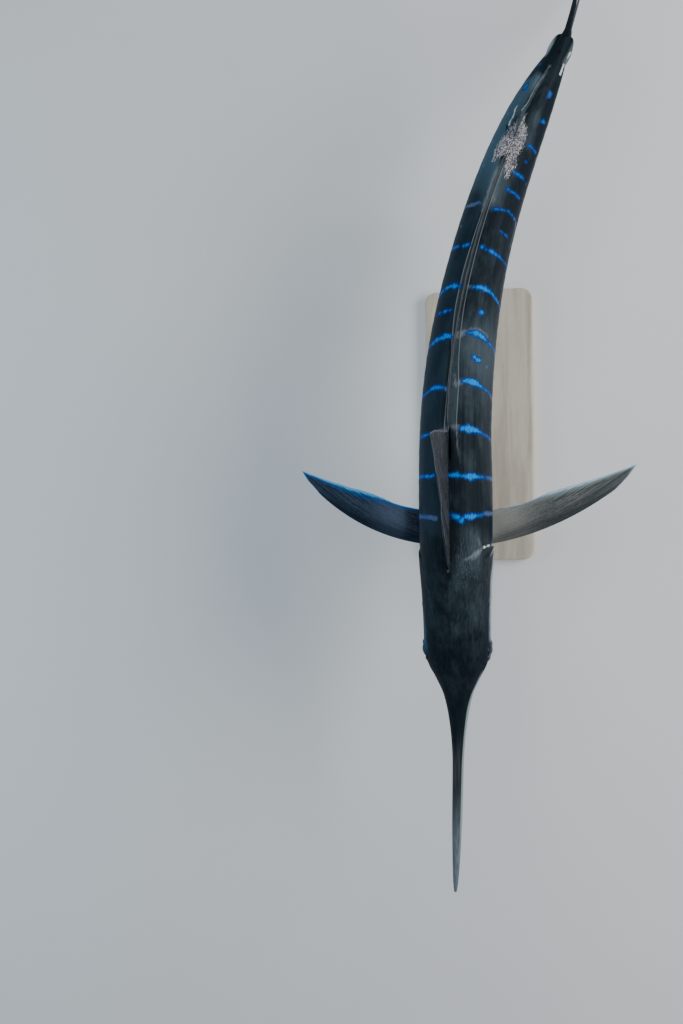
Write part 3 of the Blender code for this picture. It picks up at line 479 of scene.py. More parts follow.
# Whitish smears where bars meet the groove and behind the gill covers, and painted light: a painted glint on
# the back and pale painted light beside the bars near it.
LEFT_SMEARS_AND_GLINTS = (
    ((2.110, 0.112, 0.0018, 0.7), (2.098, 0.116, 0.0022, 0.7)),
    ((1.905, 0.120, 0.0012, 0.6), (1.84, 0.130, 0.0012, 0.6)),
    ((1.300, 0.0215, 0.0009, 0.6), (1.245, 0.026, 0.0007, 0.4), (1.205, 0.033, 0.0006, 0.4)),
    ((1.306, 0.006, 0.006, 0.40), (1.303, 0.028, 0.008, 0.40)),
    ((1.450, 0.007, 0.0016, 0.9), (1.420, 0.010, 0.0026, 0.9)),
    ((1.422, 0.013, 0.008, 0.55), (1.432, 0.028, 0.006, 0.55)),
    ((1.556, 0.004, 0.009, 0.55), (1.566, 0.026, 0.007, 0.60)),
    ((1.576, 0.030, 0.004, 0.5), (1.578, 0.060, 0.004, 0.5), (1.566, 0.094, 0.004, 0.4)),
    ((1.690, 0.004, 0.005, 0.35), (1.692, 0.016, 0.004, 0.40)),
    ((0.972, 0.104, 0.0038, 0.75), (0.957, 0.074, 0.0048, 0.70), (0.943, 0.044, 0.0026, 0.50)),
    ((0.962, 0.092, 0.0030, 0.50), (0.946, 0.064, 0.0026, 0.40)),
    ((1.000, 0.090, 0.005, 0.20), (0.978, 0.098, 0.005, 0.25)),
)
RIGHT_SMEARS_AND_GLINTS = (
    ((1.300, 0.004, 0.005, 0.5), (1.292, 0.020, 0.004, 0.4)),
    ((1.556, 0.004, 0.005, 0.6), (1.550, 0.014, 0.004, 0.6)),
    ((0.977, 0.114, 0.0014, 0.5), (0.979, 0.150, 0.0012, 0.5)),
    ((0.913, 0.006, 0.0022, 1.0),),
    # Pale flakes on the stem and the thin light line along its ridge.
    ((2.344, 0.001, 0.0012, 0.7), (2.268, 0.002, 0.0014, 0.6), (2.200, 0.002, 0.0016, 1.0)),
    ((2.196, 0.000, 0.0030, 1.0), (2.180, 0.000, 0.0030, 1.0)),
    ((1.985, 0.012, 0.0020, 0.9), (1.945, 0.010, 0.0024, 0.9), (1.90, 0.0105, 0.0014, 0.6)),
)
# The outline of the scar astride the back before the tail, the torn skin beside it, and dark stains, the
# last of them painted shadow in the groove beside the back fin's front lobe.
SCAR = (
    (2.194, 0.000), (2.176, 0.005), (2.160, 0.018), (2.136, 0.029), (2.104, 0.030), (2.080, 0.027),
    (2.052, 0.031), (2.020, 0.028), (2.010, 0.021), (2.038, 0.010), (2.082, 0.002), (2.068, -0.007),
    (2.054, -0.022), (2.047, -0.031), (2.076, -0.035), (2.112, -0.032), (2.136, -0.021), (2.164, -0.010),
    (2.182, -0.004),
)
TEAR = (
    ((2.210, -0.030, 0.0012, 1.0), (2.196, -0.031, 0.0016, 1.0), (2.182, -0.028, 0.0012, 1.0)),
    ((2.176, -0.028, 0.0014, 1.0), (2.164, -0.030, 0.0024, 1.0), (2.152, -0.028, 0.0018, 1.0)),
    ((2.402, 0.0300, 0.0042, 1.0), (2.390, 0.0310, 0.0046, 1.0)),
    ((2.368, 0.036, 0.0030, 1.0), (2.340, 0.040, 0.0042, 1.0)),
    ((0.976, 0.112, 0.0020, 1.0), (0.979, 0.150, 0.0018, 1.0), (0.9785, 0.172, 0.0008, 1.0)),
)
STAINS_AND_SHADOW = (((2.388, 0.003, 0.005, 1.0),), ((2.150, -0.034, 0.002, 1.0), (2.138, -0.030, 0.003, 1.0)),
          ((1.302, 0.002, 0.0018, 1.0), (1.260, 0.003, 0.0024, 1.0), (1.215, 0.004, 0.0012, 1.0)))
# Painted light: how much light lies along the left of the back, and the lighter patches, of which the long
# one on the right of the rear trunk is painted light too.
LEFT_PAINTED_LIGHT = (
    (0.94, 0.06), (1.05, 0.10), (1.135, 0.12), (1.217, 0.25), (1.273, 0.24), (1.328, 0.26), (1.383, 0.36),
    (1.440, 0.50), (1.530, 0.74), (1.565, 0.68), (1.612, 0.46), (1.669, 0.26), (1.72, 0.12), (1.95, 0.12),
)
PATCHES = (
    (((0.727, -0.008), (0.724, 0.050), (0.742, 0.098), (0.80, 0.122), (0.88, 0.118), (0.908, 0.020),
      (0.90, -0.006), (0.83, -0.014)), 0.40, 0.030),
    (((0.700, -0.045), (0.712, -0.085), (0.790, -0.105), (0.868, -0.085), (0.862, -0.040), (0.79, -0.030)),
     0.16, 0.024),
    (((0.882, 0.022), (0.935, 0.014), (1.035, 0.018), (1.035, 0.105), (0.960, 0.112), (0.880, 0.100)), 0.44,
     0.022),
    (((1.945, -0.014), (1.960, -0.115), (2.290, -0.072), (2.300, -0.024), (2.200, -0.016), (2.060, -0.018)),
     0.76, 0.024),
    (((2.050, 0.028), (1.930, 0.034), (1.915, 0.012), (1.925, -0.018), (1.985, -0.034), (2.055, -0.030)),
     1.08, 0.026),
    (((2.175, -0.006), (2.195, -0.046), (2.262, -0.044), (2.320, -0.026), (2.312, -0.003)), 1.06, 0.012),
    (((2.205, 0.014), (2.235, 0.034), (2.190, 0.050), (2.150, 0.046), (2.170, 0.032)), 0.66, 0.018),
    (((2.100, -0.060), (2.290, -0.040), (2.290, 0.030), (2.250, 0.045), (2.100, 0.070)), 0.34, 0.020),
)


def nearest_mark(marks, place, arc):
    """For each point, how far it is inside the nearest mark, below nought outside, and its brightness."""
    inside, light = np.full(len(place), -0.03), np.zeros(len(place))
    for mark in marks:
        runs = list(zip(mark, mark[1:])) or [(mark[0], mark[0])]
        for start, end in runs:
            a, b = np.array(start[:2]), np.array(end[:2])
            length = max(float((b - a) @ (b - a)), 1e-12)
            t = np.clip(((place - a[0]) * (b - a)[0] + (arc - a[1]) * (b - a)[1]) / length, 0.0, 1.0)
            away = np.hypot(place - a[0] - t * (b - a)[0], arc - a[1] - t * (b - a)[1])
            deep = start[2] + (end[2] - start[2]) * t - away
            closer = deep > inside
            inside = np.where(closer, deep, inside)
            light = np.where(closer, start[3] + (end[3] - start[3]) * t, light)
    return inside, light


def mirrored(marks):
    """The same marks on the other side of the back."""
    return tuple(tuple((p, -a, w, b) for p, a, w, b in mark) for mark in marks)


def inside_shape(corners, place, arc):
    """For each point, how far it is inside a closed outline, below nought outside."""
    nearest, within = np.full(len(place), 9.0), np.zeros(len(place), bool)
    for a, b in zip(corners, corners[1:] + corners[:1]):
        run, rise = b[0] - a[0], b[1] - a[1]
        t = np.clip(((place - a[0]) * run + (arc - a[1]) * rise) / (run * run + rise * rise), 0.0, 1.0)
        nearest = np.minimum(nearest, np.hypot(place - a[0] - t * run, arc - a[1] - t * rise))
        if rise:
            between = (a[1] > arc) != (b[1] > arc)
            within ^= between & (place < a[0] + (arc - a[1]) / rise * run)
    return np.where(within, nearest, -nearest)


def tone_of(place, arc):
    """How light the coat is: broad painted light on the left of the back, patches, and pale haze by the
    scar.
    """
    left = along(LEFT_PAINTED_LIGHT, place) + 0.15 * eased(arc, 0.050, 0.100) * hump(place - 1.43, 0.12)
    tone = 0.13 + (left - 0.13) * eased(arc, -0.006, 0.022)
    tone = tone * eased(place, 0.98, 1.05)
    for shape, light, soft in PATCHES:
        tone = np.maximum(tone, light * eased(inside_shape(shape, place, arc), -soft, soft))
    return tone


sheet_columns, sheet_rows = face_middles(hide)
mark_place, _, _, mark_arc, *_ = wrap_hide(sheet_columns, sheet_rows)
near_marks = np.maximum(
    nearest_mark(LEFT_BARS + mirrored(RIGHT_BARS), mark_place, mark_arc)[0],
    nearest_mark(LEFT_SMEARS_AND_GLINTS + mirrored(RIGHT_SMEARS_AND_GLINTS) + TEAR + STAINS_AND_SHADOW, mark_place, mark_arc)[0],
)
in_scar = inside_shape(SCAR, mark_place, mark_arc)
near_marks = np.maximum(near_marks, np.where(in_scar > 0.0085, -1.0, in_scar))
cut_finer(hide, near_marks > -0.0022, 2)
flat = points_of(hide)
hide_columns, hide_rows = (flat[:, 0] + 0.5) * COLUMNS, (flat[:, 1] + 0.5) * 2 * ROWS
place, side, height, arc, down, fold, below = wrap_hide(hide_columns, hide_rows)
hide.data.vertices.foreach_set("co", on_fish(place, side, height).ravel())
bar_in, bar_light = nearest_mark(LEFT_BARS + mirrored(RIGHT_BARS), place, arc)
bar_in -= 0.0014 * eased(place, 1.74, 1.86)
bar_light *= 1 - 0.20 * eased(place, 1.74, 1.90)
smear_glint_in, smear_glint_light = nearest_mark(LEFT_SMEARS_AND_GLINTS + mirrored(RIGHT_SMEARS_AND_GLINTS), place, arc)
scar_in = inside_shape(SCAR, place, arc)
tear_in, _ = nearest_mark(TEAR, place, arc)
stain_shade_in, _ = nearest_mark(STAINS_AND_SHADOW, place, arc)
gather(hide.data, "fish_place", np.stack([place, side, height], axis=1))
gather(hide.data, "fish_round", np.stack([place - gill_line(height), down, np.abs(fold) - np.abs(arc)],
                                         axis=1))
gather(hide.data, "fish_bars", np.stack([bar_in, bar_light, tear_in], axis=1))
gather(hide.data, "fish_smear_glints", np.stack([smear_glint_in, smear_glint_light, scar_in], axis=1))
gather(hide.data, "fish_tone", np.stack([tone_of(place, arc), below, stain_shade_in], axis=1))
close_up(hide)


def add(tree, kind, feeds=(), **settings):
    """Adds a node to a finish, sets it, and feeds its sockets with values or other nodes' sockets."""
    made = tree.nodes.new(kind)
    for setting, value in settings.items():
        setattr(made, setting, value)
    for socket, value in dict(feeds).items():
        if isinstance(value, bpy.types.NodeSocket):
            tree.links.new(value, made.inputs[socket])
        else:
            made.inputs[socket].default_value = value
    return made


def sum_up(tree, operation, *values):
    """One step of arithmetic on values or sockets."""
    made = add(tree, "ShaderNodeMath", dict(enumerate(values)), operation=operation)
    return made.outputs[0]


def fade(tree, value, start, end, low=0.0, high=1.0):
    """A value that eases from low to high as another runs from start to end."""
    feeds = {"Value": value, "From Min": start, "From Max": end, "To Min": low, "To Max": high}
    return add(tree, "ShaderNodeMapRange", feeds, interpolation_type="SMOOTHSTEP").outputs["Result"]


def stretched(tree, vector, scale):
    """Coordinates stretched by a scale on each axis."""
    return add(tree, "ShaderNodeVectorMath", {0: vector, 1: scale}, operation="MULTIPLY").outputs[0]


def grain(tree, vector, detail=5.0, roughness=0.55, scale=1.0, distortion=0.0):
    """Soft noise, from 0 to 1."""
    feeds = {"Vector": vector, "Scale": scale, "Detail": detail, "Roughness": roughness,
             "Distortion": distortion}
    return add(tree, "ShaderNodeTexNoise", feeds).outputs["Fac"]


def paint(tree, share, under, over):
    """One colour laid over another by a share."""
    made = add(tree, "ShaderNodeMix", {0: share, 6: under, 7: over}, data_type="RGBA")
    return made.outputs[2]


def new_finish(name):
    """A finish with its main shader, ready for its pattern."""
    finish = bpy.data.materials.new(name)
    finish.use_nodes = True
    return finish, finish.node_tree, finish.node_tree.nodes["Principled BSDF"]


BRONZE, UMBER, SLATE = (0.0046, 0.0104, 0.0160, 1), (0.0175, 0.0240, 0.0270, 1), (0.0740, 0.1050, 0.1290, 1)
HAZE, PAINTED_SKY_GREY, PAINTED_SHADE_BLUE = (0.2700, 0.3250, 0.3500, 1), (0.0650, 0.1400, 0.2000, 1), (0.0170, 0.0370,
                                                                                      0.0570, 1)
CHEEK_WASH, PLATE_LINE, CHEEK_BLUE_LIGHT = (0.120, 0.114, 0.106, 1), (0.150, 0.165, 0.185, 1), (0.024, 0.105, 0.170, 1)
GILL_SHADOW, CHEEK_SHADOW, EYE_SHADE = (0.045, 0.055, 0.068, 1), (0.090, 0.100, 0.115, 1), (0.018, 0.027,
                                                                                            0.038, 1)
LIP_GREY, MOUTH_SLIT_SHADE, CHIN_GREY = (0.075, 0.080, 0.090, 1), (0.010, 0.008, 0.009, 1), (0.060, 0.066, 0.078,
                                                                                       1)
BILL_DARK, BILL_LIGHT, BILL_RIM_LIGHT = (0.020, 0.024, 0.029, 1), (0.062, 0.066, 0.076, 1), (0.300, 0.380, 0.410,
                                                                                        1)
TIP_DARK, TIP_LIGHT, STEM_DARK = (0.095, 0.120, 0.145, 1), (0.190, 0.225, 0.260, 1), (0.006, 0.013, 0.018,
                                                                                      1)
FOLD_PALE, SMEAR_AND_GLINT_PALE, STAIN_AND_SHADE_DARK = (0.200, 0.235, 0.265, 1), (0.250, 0.290, 0.340, 1), (0.006, 0.005,
                                                                                         0.006, 1)
KEEL_PALE, TORN_PALE = (0.270, 0.340, 0.380, 1), (0.600, 0.670, 0.700, 1)
SCAR_GLINT, SCAR_TOP = (0.880, 0.890, 0.920, 1), (0.820, 0.830, 0.860, 1)
SCAR_END, SCAR_RAW = (0.700, 0.690, 0.700, 1), (0.150, 0.060, 0.075, 1)
NAVY, STEEL, SILVER, PEARL = (
    (0.0020, 0.0070, 0.0190, 1), (0.0450, 0.0760, 0.1050, 1), (0.3300, 0.3900, 0.4300, 1),
    (0.66, 0.68, 0.69, 1),
)
COBALT, AZURE, LAVENDER = (0.0, 0.034, 0.230, 1), (0.0, 0.270, 0.820, 1), (0.100, 0.170, 0.300, 1)
SCAR_GREY, SCAR_WHITE, SCAR_SPECK = (0.085, 0.086, 0.112, 1), (0.560, 0.570, 0.620, 1), (0.030, 0.016,
                                                                                         0.034, 1)


def read(tree, name):
    """The three parts of a vector that was stored on a piece's points."""
    layer = add(tree, "ShaderNodeAttribute", attribute_name=name).outputs["Vector"]
    return add(tree, "ShaderNodeSeparateXYZ", {0: layer}).outputs


def times(tree, *values):
    """Values multiplied together."""
    result = values[0]
    for value in values[1:]:
        result = sum_up(tree, "MULTIPLY", result, value)
    return result


def roughened(tree, value, noise, amount):
    """A value moved up or down by up to half an amount by noise, so that an edge drawn from it is ragged."""
    return sum_up(tree, "ADD", fade(tree, noise, 0.33, 0.67, -amount / 2, amount / 2), value)


hide_finish, tree, shader = new_finish("painted_hide")
spot = add(tree, "ShaderNodeAttribute", attribute_name="fish_place").outputs["Vector"]
run_place, aside, level = read(tree, "fish_place")
past_gill, share_down, fold_in = read(tree, "fish_round")
bar_deep, bar_bright, tear_deep = read(tree, "fish_bars")
smear_glint_deep, smear_glint_bright, scar_deep = read(tree, "fish_smear_glints")
tone, from_mouth, stain_shade_deep = read(tree, "fish_tone")
streaks = grain(tree, stretched(tree, spot, (5.0, 150.0, 150.0)), detail=7.0, roughness=0.66)
hairs = grain(tree, stretched(tree, spot, (26.0, 700.0, 700.0)), detail=3.0, roughness=0.6)
clouds = grain(tree, stretched(tree, spot, (11.0, 20.0, 20.0)), detail=5.0, roughness=0.6)
brush_ends = grain(tree, stretched(tree, spot, (60.0, 330.0, 330.0)), detail=4.0, roughness=0.65)
blots = grain(tree, stretched(tree, spot, (75.0, 75.0, 75.0)), detail=3.0)
# A bronze-black back with umber streaks, lighter slate behind the bars, on the crown and by the scar, the
# slate along the left of the back being painted light.
coat = paint(tree, times(tree, fade(tree, streaks, 0.34, 0.68), 0.5), BRONZE, UMBER)
cloudy = times(tree, fade(tree, clouds, 0.44, 0.66), fade(tree, hairs, 0.35, 0.62, 0.55, 1.0), 0.20)
coat = paint(tree, cloudy, coat, SLATE)
tone_edge = roughened(tree, roughened(tree, tone, streaks, 0.14), clouds, 0.20)
tone_share = times(tree, fade(tree, tone_edge, 0.06, 1.0), fade(tree, hairs, 0.35, 0.62, 0.82, 1.0), 0.85)
coat = paint(tree, tone_share, coat, SLATE)
coat = paint(tree, times(tree, fade(tree, tone_edge, 0.86, 1.30), fade(tree, hairs, 0.35, 0.62, 0.5, 1.0),
                         0.85), coat, HAZE)
# Painted light on the right of the back: painted shade in a dark sea blue over its front, and painted sky
# light in blue-grey on the right of the rear trunk.
shaded_back_right = times(tree, fade(tree, aside, -0.010, -0.024), fade(tree, share_down, 0.42, 0.34),
                      fade(tree, run_place, 0.98, 1.06))
coat = paint(tree, times(tree, shaded_back_right, fade(tree, clouds, 0.34, 0.60, 0.55, 1.0),
                         fade(tree, hairs, 0.35, 0.6, 0.7, 1.0), 0.85), coat, PAINTED_SHADE_BLUE)
sky_lit_rear = times(tree, fade(tree, aside, -0.004, -0.026), fade(tree, run_place, 1.90, 2.08),
                 fade(tree, run_place, 2.34, 2.28))
coat = paint(tree, times(tree, sky_lit_rear, fade(tree, tone_edge, 0.16, 0.80), 0.70), coat, PAINTED_SKY_GREY)
# The flanks turn navy, then silver and pearl under a ragged edge; the head's sides turn sooner.
ragged = roughened(tree, roughened(tree, share_down, streaks, 0.020), clouds, 0.044)
coat = paint(tree, times(tree, fade(tree, ragged, 0.26, 0.44), fade(tree, tone_edge, 0.9, 0.2, 0.5, 1.0)),
             coat, NAVY)
silver_start = fade(tree, run_place, 0.88, 1.04, 0.425, 0.578)
silver_start = sum_up(tree, "ADD", silver_start, fade(tree, run_place, 0.66, 0.50, 0.0, 0.10))
silver_start = sum_up(tree, "SUBTRACT", silver_start, fade(tree, aside, 0.01, 0.05, 0.0, 0.005))
silver_depth = sum_up(tree, "SUBTRACT", ragged, silver_start)
steel_width = fade(tree, run_place, 0.90, 1.04, -0.040, -0.110)
coat = paint(tree, times(tree, fade(tree, silver_depth, steel_width, -0.004),
                         fade(tree, hairs, 0.3, 0.6, 0.55, 1.0)), coat, STEEL)
coat = paint(tree, fade(tree, silver_depth, -0.030, 0.060), coat, SILVER)
coat = paint(tree, fade(tree, silver_depth, 0.08, 0.26), coat, PEARL)
# A warm grey wash on the cheeks and gill covers.
on_cheek = times(tree, fade(tree, run_place, 0.70, 0.78), fade(tree, run_place, 0.99, 0.95),
                 fade(tree, ragged, 0.72, 0.52), fade(tree, ragged, 0.44, 0.53))
coat = paint(tree, times(tree, on_cheek, fade(tree, clouds, 0.35, 0.65), 0.42), coat, CHEEK_WASH)
# Shadows under the edges of the gill cover and of the cheek before it, a painted highlight along the gill
# cover's rim, and fine bony lines on both.
on_side = times(tree, fade(tree, share_down, 0.34, 0.44), fade(tree, share_down, 0.97, 0.90))
gill_dark = times(tree, fade(tree, past_gill, -0.0012, 0.0006), fade(tree, past_gill, 0.020, 0.003),
                  on_side, 0.62)
coat = paint(tree, gill_dark, coat, GILL_SHADOW)
gill_rim_highlight = times(tree, fade(tree, past_gill, -0.0150, -0.0040), fade(tree, past_gill, 0.0, -0.0014),
                   on_side, 0.30)
coat = paint(tree, gill_rim_highlight, coat, PEARL)
cheek_curve = sum_up(tree, "MULTIPLY", sum_up(tree, "POWER", sum_up(tree, "ADD", level, 0.02), 2.0), 3.4)
past_cheek = sum_up(tree, "ADD", sum_up(tree, "SUBTRACT", run_place, 0.832), cheek_curve)
cheek_span = times(tree, fade(tree, share_down, 0.42, 0.50), fade(tree, share_down, 0.86, 0.76))
cheek_dark = times(tree, fade(tree, past_cheek, -0.0008, 0.0016), fade(tree, past_cheek, 0.016, 0.003),
                   cheek_span, 0.40)
coat = paint(tree, cheek_dark, coat, CHEEK_SHADOW)
plates = times(tree, fade(tree, past_cheek, 0.0, 0.010), fade(tree, past_gill, -0.004, -0.020), on_side)
coat = paint(tree, times(tree, plates, fade(tree, streaks, 0.48, 0.64), 0.30), coat, PLATE_LINE)
# Duskier lips and chin, and painted shade in the slit of the mouth.
on_lips = times(tree, fade(tree, sum_up(tree, "ABSOLUTE", from_mouth), 0.0065, 0.0025),
                fade(tree, run_place, 0.755, 0.735))
coat = paint(tree, times(tree, on_lips, fade(tree, run_place, 0.40, 0.44), 0.55), coat, LIP_GREY)
shade_in_mouth = times(tree, fade(tree, sum_up(tree, "ABSOLUTE", from_mouth), 0.0016, 0.0007),
                 fade(tree, run_place, 0.743, 0.738))
coat = paint(tree, times(tree, shade_in_mouth, fade(tree, run_place, 0.415, 0.425)), coat, MOUTH_SLIT_SHADE)
chin = times(tree, fade(tree, run_place, 0.56, 0.43), fade(tree, ragged, 0.55, 0.62),
             fade(tree, streaks, 0.3, 0.6, 0.5, 1.0))
coat = paint(tree, times(tree, chin, 0.75), coat, CHIN_GREY)
# Dusky skin round the eyes, painted blue light along the right cheek, and a dark end to the stem.
eye_run = sum_up(tree, "POWER", sum_up(tree, "SUBTRACT", run_place, EYE), 2.0)
eye_rise = sum_up(tree, "POWER", sum_up(tree, "SUBTRACT", level, EYE_HEIGHT), 2.0)
from_eye = sum_up(tree, "SQRT", sum_up(tree, "ADD", eye_run, eye_rise))
coat = paint(tree, fade(tree, roughened(tree, from_eye, clouds, 0.010), 0.038, 0.024, 0.0, 0.80), coat,
             EYE_SHADE)
on_right = times(tree, fade(tree, aside, -0.045, -0.065), fade(tree, run_place, 0.66, 0.70),
                 fade(tree, run_place, 0.83, 0.77))
cheek_blue_light = times(tree, on_right, fade(tree, ragged, 0.270, 0.340), fade(tree, ragged, 0.480, 0.400), 0.75)
coat = paint(tree, cheek_blue_light, coat, CHEEK_BLUE_LIGHT)
coat = paint(tree, fade(tree, roughened(tree, run_place, clouds, 0.05), 2.300, 2.400, 0.0, 0.88), coat,
             STEM_DARK)
nape = times(tree, fade(tree, aside, 0.002, 0.020), fade(tree, run_place, 0.84, 0.90),
             fade(tree, run_place, 1.05, 0.98), fade(tree, ragged, 0.42, 0.34))
coat = paint(tree, times(tree, nape, fade(tree, hairs, 0.52, 0.66), 0.20), coat, HAZE)
# The bill is slate grey, streaked, paler towards its tip.
bill_coat = paint(tree, fade(tree, streaks, 0.38, 0.64), BILL_DARK, BILL_LIGHT)
bill_tip = paint(tree, fade(tree, hairs, 0.35, 0.65), TIP_DARK, TIP_LIGHT)
bill_coat = paint(tree, fade(tree, roughened(tree, run_place, streaks, 0.07), 0.30, 0.10), bill_coat,
                  bill_tip)
coat = paint(tree, fade(tree, run_place, 0.46, 0.34), coat, bill_coat)
# Painted rim light: a pale band low along the bill's left side, where the snout turns silver.
rim_start = fade(tree, run_place, 0.60, 0.50, 0.340, 0.250)
rim_full = sum_up(tree, "ADD", rim_start, 0.055)
bill_rim_light = times(tree, fade(tree, aside, 0.0, 0.006), fade(tree, share_down, rim_start, rim_full))
bill_rim_light = times(tree, bill_rim_light, fade(tree, share_down, 0.56, 0.51))
bill_rim_light = times(tree, bill_rim_light, fade(tree, run_place, 0.64, 0.59), fade(tree, run_place, 0.06, 0.20), 0.80)
coat = paint(tree, bill_rim_light, coat, BILL_RIM_LIGHT)
# Pale lines on the folds beside the groove, worn through here and there, and a lighter band between.
line = times(tree, fade(tree, sum_up(tree, "ABSOLUTE", fold_in), 0.0018, 0.0005),
             fade(tree, streaks, 0.30, 0.46, 0.35, 1.0))
line_span = times(tree, fade(tree, run_place, 1.285, 1.31), fade(tree, run_place, 2.10, 2.00))
between = times(tree, fade(tree, fold_in, 0.0, 0.003), line_span, fade(tree, hairs, 0.35, 0.62, 0.35, 0.60))
coat = paint(tree, between, coat, SLATE)
coat = paint(tree, times(tree, line, line_span, 0.80), coat, FOLD_PALE)
# Whitish smears under and beside the bars, with the painted glint and painted light among them.
smear_glint_edge = roughened(tree, roughened(tree, smear_glint_deep, brush_ends, 0.0045), clouds, 0.0040)
smear_glint_share = times(tree, fade(tree, smear_glint_edge, -0.0044, 0.0040), smear_glint_bright,
                    fade(tree, hairs, 0.36, 0.60, 0.30, 1.0))
coat = paint(tree, smear_glint_share, coat, SMEAR_AND_GLINT_PALE)
# Cobalt bars: soft ragged blotches, azure in their middles, dim lavender threads low on the flank.
bar_edge = roughened(tree, roughened(tree, bar_deep, brush_ends, 0.0034), blots, 0.0044)
bar_share = times(tree, fade(tree, bar_edge, -0.0038, 0.0022), fade(tree, bar_bright, 0.0, 0.55, 0.15, 1.0))
bar_heart = times(tree, fade(tree, bar_edge, 0.0008, 0.0070), fade(tree, bar_bright, 0.4, 1.0, 0.25, 1.0),
                  fade(tree, brush_ends, 0.38, 0.58, 0.62, 1.0))
bar_coat = paint(tree, bar_heart, COBALT, AZURE)
bar_coat = paint(tree, fade(tree, bar_bright, 0.62, 0.35), bar_coat, LAVENDER)
coat = paint(tree, bar_share, coat, bar_coat)
# The scar: raw, pale and granular, with dark specks and painted glints, and the small tear and stains beside
# it; the stains take in painted shadow in the groove beside the back fin's front lobe.
grit_place = stretched(tree, spot, (480.0, 560.0, 560.0))
grit = add(tree, "ShaderNodeTexVoronoi", {"Vector": grit_place, "Scale": 1.0})
grit_tone = add(tree, "ShaderNodeSeparateXYZ", {0: grit.outputs["Color"]}).outputs
scar_edge = roughened(tree, roughened(tree, scar_deep, brush_ends, 0.0090), grit_tone[1], 0.0080)
scar_share = fade(tree, scar_edge, -0.0022, 0.0034)
scar_coat = paint(tree, fade(tree, grit_tone[0], 0.25, 0.90), SCAR_GREY, SCAR_WHITE)
# Painted glints: near-white highlight specks in the scar's grain.
scar_coat = paint(tree, fade(tree, grit_tone[2], 0.10, 0.04), scar_coat, SCAR_GLINT)
scar_coat = paint(tree, times(tree, fade(tree, grit_tone[1], 0.74, 0.84), 0.75), scar_coat, SCAR_SPECK)
scar_coat = paint(tree, times(tree, fade(tree, grit_tone[2], 0.80, 0.90), 0.6), scar_coat, SCAR_RAW)
scar_coat = paint(tree, times(tree, fade(tree, run_place, 2.135, 2.175), fade(tree, grit_tone[0], 0.2, 0.6),
                              0.7), scar_coat, SCAR_TOP)
scar_ends = fade(tree, scar_deep, 0.0065, 0.0015)
scar_coat = paint(tree, times(tree, scar_ends, fade(tree, brush_ends, 0.45, 0.6), 0.8), scar_coat, SCAR_END)
coat = paint(tree, scar_share, coat, scar_coat)
# Dark stains, and painted shadow in the groove beside the back fin's front lobe.
coat = paint(tree, fade(tree, roughened(tree, stain_shade_deep, blots, 0.0030), -0.0016, 0.0012), coat,
             STAIN_AND_SHADE_DARK)
keel_edge = times(tree, fade(tree, sum_up(tree, "ABSOLUTE", aside), 0.0200, 0.028),
                  fade(tree, run_place, 2.36, 2.38), fade(tree, aside, -0.01, 0.01, 1.0, 0.35))
coat = paint(tree, times(tree, keel_edge, fade(tree, clouds, 0.35, 0.60, 0.60, 0.95)), coat, KEEL_PALE)
torn = roughened(tree, roughened(tree, tear_deep, brush_ends, 0.0022), blots, 0.0026)
coat = paint(tree, fade(tree, torn, -0.0012, 0.0008, 0.0, 0.94), coat, TORN_PALE)
tree.links.new(coat, shader.inputs["Base Color"])
gloss = roughened(tree, roughened(tree, 0.54, clouds, 0.10), hairs, 0.10)
gloss = sum_up(tree, "SUBTRACT", gloss, fade(tree, silver_depth, 0.0, 0.06, 0.0, 0.18))
tree.links.new(sum_up(tree, "MAXIMUM", gloss, times(tree, scar_share, 0.7)), shader.inputs["Roughness"])
# Embedded needle-like scales over the trunk, finer grain on the head, pitted flesh in the scar.
scale_place = stretched(tree, spot, (55.0, 290.0, 290.0))
scales = add(tree, "ShaderNodeTexVoronoi", {"Vector": scale_place, "Scale": 1.0}).outputs["Distance"]
scaled = times(tree, fade(tree, run_place, 0.93, 1.08), scales, 0.5)
relief = sum_up(tree, "MULTIPLY_ADD", hairs, 0.10, sum_up(tree, "MULTIPLY_ADD", streaks, 0.16, scaled))
relief = sum_up(tree, "MULTIPLY_ADD", grit_tone[0], times(tree, scar_share, 1.3), relief)
bump = add(tree, "ShaderNodeBump", {"Strength": 0.34, "Distance": 0.0012, "Height": relief})
tree.links.new(bump.outputs[0], shader.inputs["Normal"])
tree.links.new(fade(tree, silver_depth, -0.02, 0.08, 0.07, 0.26), shader.inputs["Specular IOR Level"])
shader.inputs["Specular Tint"].default_value = (0.60, 0.82, 1.0, 1)
shader.inputs["Coat Weight"].default_value = 0.02
shader.inputs["Coat Roughness"].default_value = 0.30
hide.data.materials.clear()
hide.data.materials.append(hide_finish)
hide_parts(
    "bill", "head", "lower_jaw", "gill_cover_left", "gill_cover_right",
    "torso_front", "torso_middle", "torso_rear", "tail_stem",
)
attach(hide, "root")


# The eyes: big flattened balls of clear-coated resin let into their sockets, with a dark pupil,
# a slate iris with a pale inner ring and a blue-black rim. Each is its own ball.
PUPIL, IRIS = 0.0116, 0.0176
IRIS_DARK, IRIS_LIGHT, INNER_RING = (0.012, 0.022, 0.034, 1), (0.058, 0.072, 0.080, 1), (0.150, 0.155,
                                                                                         0.140, 1)
OUTER_RING, PUPIL_BLACK, EYE_RIM = (0.006, 0.018, 0.045, 1), (0.0004, 0.0006, 0.0012, 1), (0.006, 0.010,
                                                                                           0.020, 1)

